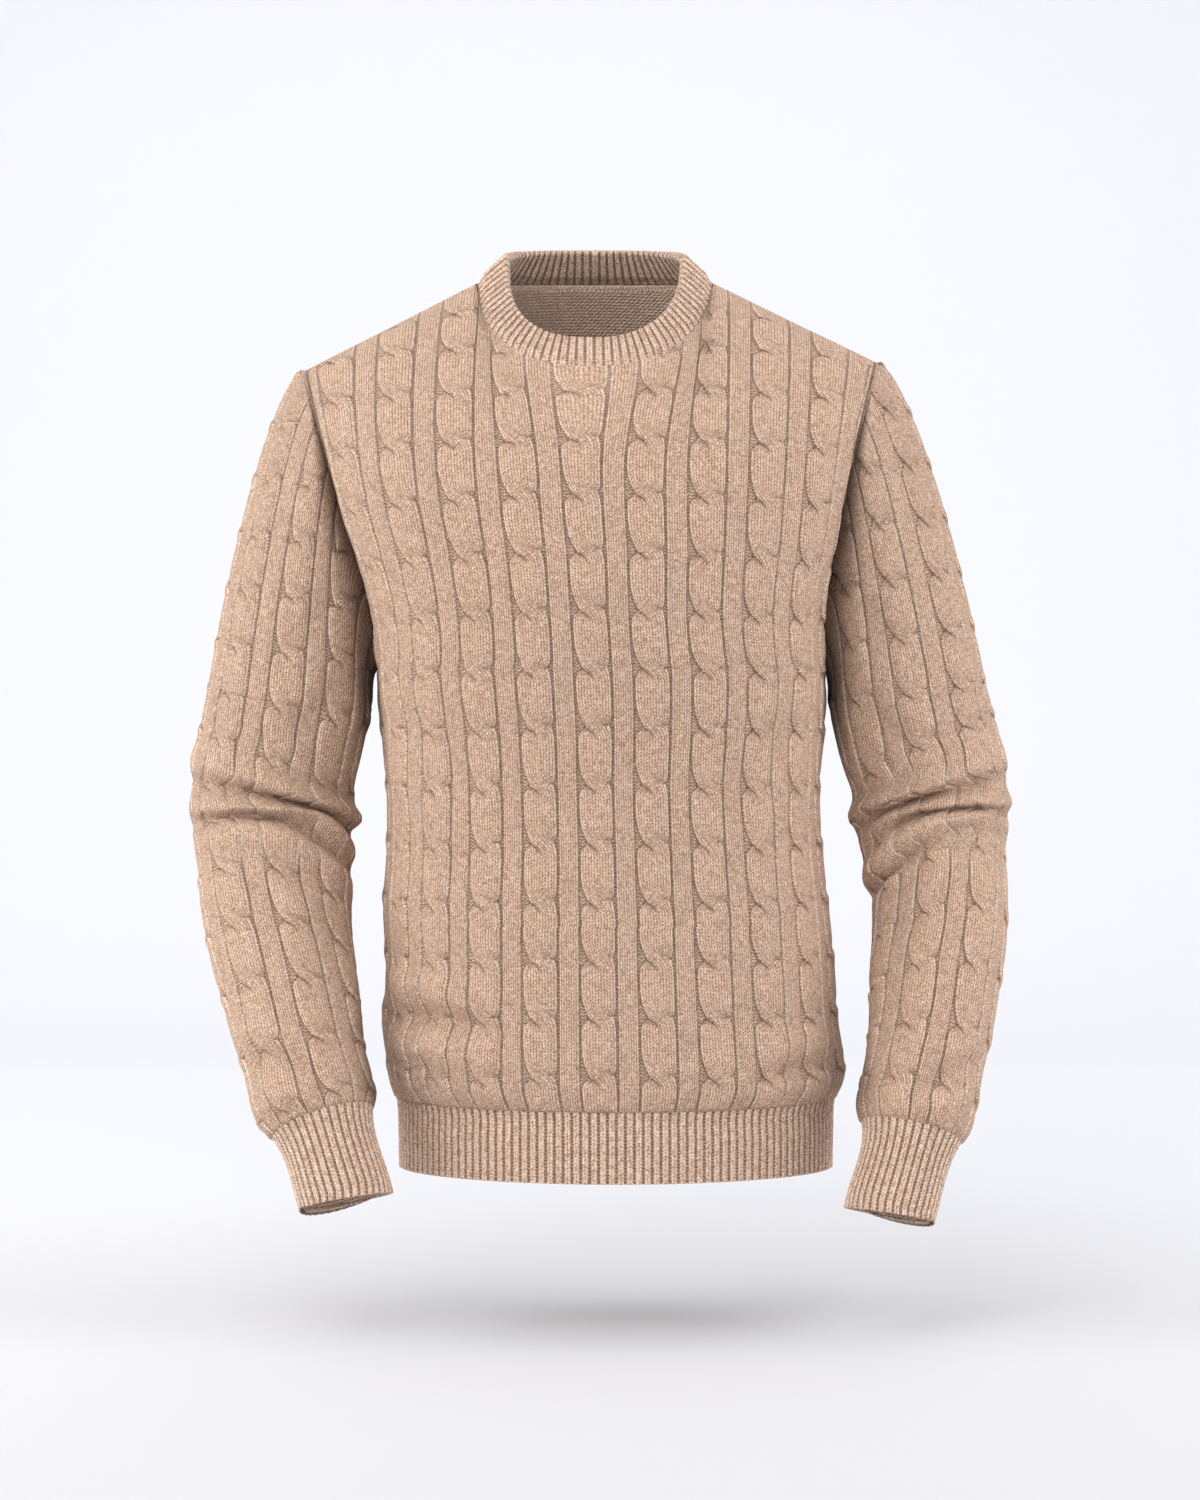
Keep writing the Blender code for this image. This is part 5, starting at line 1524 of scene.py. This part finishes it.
# Side view of the floor: its front end, where it bends up, the radius of the bend and the
# height of the wall behind; and its tone as a share of its colour, from near to far
FLOOR_FRONT = -6.0
FLOOR_BEND = 2.2
FLOOR_ROUND = 1.6
FLOOR_WALL = 7.0
FLOOR_STEPS = 12
FLOOR_SIDE = 9.0
FLOOR_REACH = (-0.6, 2.0)
FLOOR_TONES = (0.66, 0.92)

# Lights: place, size, share of the key light's power, and colour; all are aimed at one point
LIGHTS = {
    "key light": ((-0.9, -2.7, 2.1), 2.2, 1.10, (1.0, 0.985, 0.965)),
    "left light": ((-2.5, -0.7, 0.3), 2.2, 1.35, (1.0, 0.99, 0.975)),
    "right light": ((2.5, -0.8, 0.3), 2.2, 1.10, (0.99, 0.985, 0.99)),
    "top light": ((0.0, 0.4, 2.6), 4.2, 0.42, (1.0, 1.0, 1.0)),
}
LIGHTS_AIM = (0.0, 0.0, -0.35)
SKY = (0.95, 0.96, 1.0, 1.0)
SKY_STRENGTH = 0.73
CAMERA_PLACE = (0.00385, -2.56, -0.3696)
CAMERA_LENS = 79.8
SENSOR_WIDTH = 36.0


def add_object(name, data):
    obj = bpy.data.objects.new(name, data)
    bpy.context.scene.collection.objects.link(obj)
    return obj


def lay_floor(level, colour):
    """A floor that bends up into a wall behind the sweater."""
    profile = [(FLOOR_FRONT, level)]
    for step in range(FLOOR_STEPS + 1):
        turn = step / FLOOR_STEPS * math.pi / 2
        up = FLOOR_ROUND * (1 - math.cos(turn))
        profile.append((FLOOR_BEND + FLOOR_ROUND * math.sin(turn), level + up))
    profile.append((FLOOR_BEND + FLOOR_ROUND, level + FLOOR_WALL))
    points = [(x, y, z) for y, z in profile for x in (-FLOOR_SIDE, FLOOR_SIDE)]
    faces = [(2 * i, 2 * i + 1, 2 * i + 3, 2 * i + 2) for i in range(len(profile) - 1)]
    mesh = bpy.data.meshes.new("floor")
    mesh.from_pydata(points, [], faces)
    mesh.shade_smooth()
    mesh.materials.append(floor_material(colour))
    return add_object("floor", mesh)


def floor_material(colour):
    """A pale floor that grows lighter towards the back."""
    material = bpy.data.materials.new("pale floor")
    material.use_nodes = True
    tree = material.node_tree
    shader = tree.nodes["Principled BSDF"]
    shader.inputs["Roughness"].default_value = 0.9
    _, back, _ = source(tree, "ShaderNodeTexCoord", "Object").parts()
    near, far = (tuple(tone * value for value in colour) + (1.0,) for tone in FLOOR_TONES)
    tone = mixed(tree, back.ramp(*FLOOR_REACH, smooth=False), near, far)
    feed(tree, shader.inputs["Base Color"], tone)
    return material


def hang_light(name, place, size, power, colour):
    """A square light that faces the sweater."""
    lamp = bpy.data.lights.new(name, "AREA")
    lamp.shape = "SQUARE"
    lamp.size = size
    lamp.energy = power
    lamp.color = colour
    obj = add_object(name, lamp)
    obj.location = place
    aim = np.array(LIGHTS_AIM) - np.array(place)
    tilt = math.acos(-aim[2] / np.linalg.norm(aim))
    obj.rotation_euler = (tilt, 0.0, math.atan2(-aim[0], aim[1]))


# ---------------------------------------------------------------- settings


class SWEATER_PG_wool(bpy.types.PropertyGroup):
    light_wool: bpy.props.FloatVectorProperty(
        name="Light fibres", description="Colour of the lighter fibres", subtype="COLOR",
        default=(0.900, 0.640, 0.480), min=0.0, max=1.0,
    )
    dark_wool: bpy.props.FloatVectorProperty(
        name="Dark fibres", description="Colour of the darker fibres", subtype="COLOR",
        default=(0.430, 0.262, 0.172), min=0.0, max=1.0,
    )
    shade_wool: bpy.props.FloatVectorProperty(
        name="Between stitches", description="Colour deep between the stitches", subtype="COLOR",
        default=(0.190, 0.098, 0.056), min=0.0, max=1.0,
    )
    # Painted highlight of the edge stitches; the same colour also tints the light fibre specks
    # and the reverse
    edge_highlight_and_fleck_wool: bpy.props.FloatVectorProperty(
        name="Edge stitches", description="Colour of the stitches at a cable's edge",
        subtype="COLOR", default=(0.900, 0.740, 0.620), min=0.0, max=1.0,
    )


class SWEATER_PG_stage(bpy.types.PropertyGroup):
    floor_level: bpy.props.FloatProperty(
        name="Floor level", description="Height of the floor under the sweater",
        default=-0.809, unit="LENGTH",
    )
    floor_colour: bpy.props.FloatVectorProperty(
        name="Floor", description="Colour of the floor", subtype="COLOR",
        default=(0.955, 0.96, 0.985), min=0.0, max=1.0,
    )
    key_power: bpy.props.FloatProperty(
        name="Key light", description="Power of the large light in front", default=40.0, min=0.0,
    )


# ---------------------------------------------------------------- operators


def hand_over(piece, node):
    """Binds the piece to the body and lets it stand for its CAD node, whose part it hides."""
    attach(piece, "root")
    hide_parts(node)


class SWEATER_OT_panels(bpy.types.Operator):
    """Knit the front and the back"""

    bl_idname = "sweater.panels"
    bl_label = "Front and back"

    def execute(self, context):
        materials = (shared_wool("cable"), shared_wool("purl"))
        for node, face in ((FRONT, -1), (BACK, 1)):
            piece = panel(f"{node}_panel", face, materials)
            hand_over(piece, node)
        return {"FINISHED"}


class SWEATER_OT_sleeves(bpy.types.Operator):
    """Knit the two sleeves"""

    bl_idname = "sweater.sleeves"
    bl_label = "Sleeves"

    def execute(self, context):
        materials = (shared_wool("cable"), shared_wool("purl"))
        for side, hand in ((1, "left"), (-1, "right")):
            piece = sleeve(f"{hand}_sleeve", side, materials)
            hand_over(
                piece, f"sleeve_{hand}"
            )
        return {"FINISHED"}


class SWEATER_OT_neckband(bpy.types.Operator):
    """Knit the folded neckband"""

    bl_idname = "sweater.neckband"
    bl_label = "Neckband"

    def execute(self, context):
        piece = neckband("folded_neckband", (shared_wool("rib"), shared_wool("purl")))
        hand_over(piece, "neckband")
        return {"FINISHED"}


class SWEATER_OT_ribs(bpy.types.Operator):
    """Knit the rib at the hem and the two cuffs"""

    bl_idname = "sweater.ribs"
    bl_label = "Hem and cuffs"

    def execute(self, context):
        materials = (shared_wool("rib"), shared_wool("purl"))
        piece = hem_rib("hem_ribbing", materials)
        hand_over(piece, "hem_rib")
        for side, hand in ((1, "left"), (-1, "right")):
            piece = cuff(f"{hand}_cuff", side, materials)
            hand_over(piece, f"cuff_{hand}")
        return {"FINISHED"}


class SWEATER_OT_stage(bpy.types.Operator):
    """Set up the floor, the lights and the camera"""

    bl_idname = "sweater.stage"
    bl_label = "Floor, lights and camera"

    def execute(self, context):
        scene = context.scene
        settings = scene.sweater_stage
        floor = lay_floor(settings.floor_level, settings.floor_colour)
        for name, (place, size, share, colour) in LIGHTS.items():
            hang_light(name, place, size, settings.key_power * share, colour)

        scene.world = bpy.data.worlds.new("soft daylight")
        scene.world.use_nodes = True
        background = scene.world.node_tree.nodes["Background"]
        background.inputs["Color"].default_value = SKY
        background.inputs["Strength"].default_value = SKY_STRENGTH

        camera = bpy.data.cameras.new("camera")
        camera.lens = CAMERA_LENS
        camera.sensor_width = SENSOR_WIDTH
        scene.camera = add_object("camera", camera)
        scene.camera.location = CAMERA_PLACE
        scene.camera.rotation_euler = (math.pi / 2, 0.0, 0.0)
        scene.view_settings.view_transform = "Standard"
        return {"FINISHED"}


OPERATORS = (
    SWEATER_OT_panels, SWEATER_OT_sleeves, SWEATER_OT_neckband, SWEATER_OT_ribs, SWEATER_OT_stage
)


class SWEATER_PT_panel(bpy.types.Panel):
    bl_idname = "SWEATER_PT_panel"
    bl_label = "Cable knit sweater"
    bl_space_type = "VIEW_3D"
    bl_region_type = "UI"
    bl_category = "Sweater"

    def draw(self, context):
        for settings in (context.scene.sweater_wool, context.scene.sweater_stage):
            for name in settings.bl_rna.properties.keys():
                if name not in ("rna_type", "name"):
                    self.layout.prop(settings, name)
        for operator in OPERATORS:
            self.layout.operator(operator.bl_idname)


CLASSES = (SWEATER_PG_wool, SWEATER_PG_stage, *OPERATORS, SWEATER_PT_panel)


def register():
    for item in CLASSES:
        bpy.utils.register_class(item)
    bpy.types.Scene.sweater_wool = bpy.props.PointerProperty(type=SWEATER_PG_wool)
    bpy.types.Scene.sweater_stage = bpy.props.PointerProperty(type=SWEATER_PG_stage)


def unregister():
    del bpy.types.Scene.sweater_stage
    del bpy.types.Scene.sweater_wool
    for item in reversed(CLASSES):
        bpy.utils.unregister_class(item)


def main():
    register()
    bpy.ops.sweater.stage()
    bpy.ops.sweater.panels()
    bpy.ops.sweater.sleeves()
    bpy.ops.sweater.neckband()
    bpy.ops.sweater.ribs()


if __name__ == "__main__":
    main()
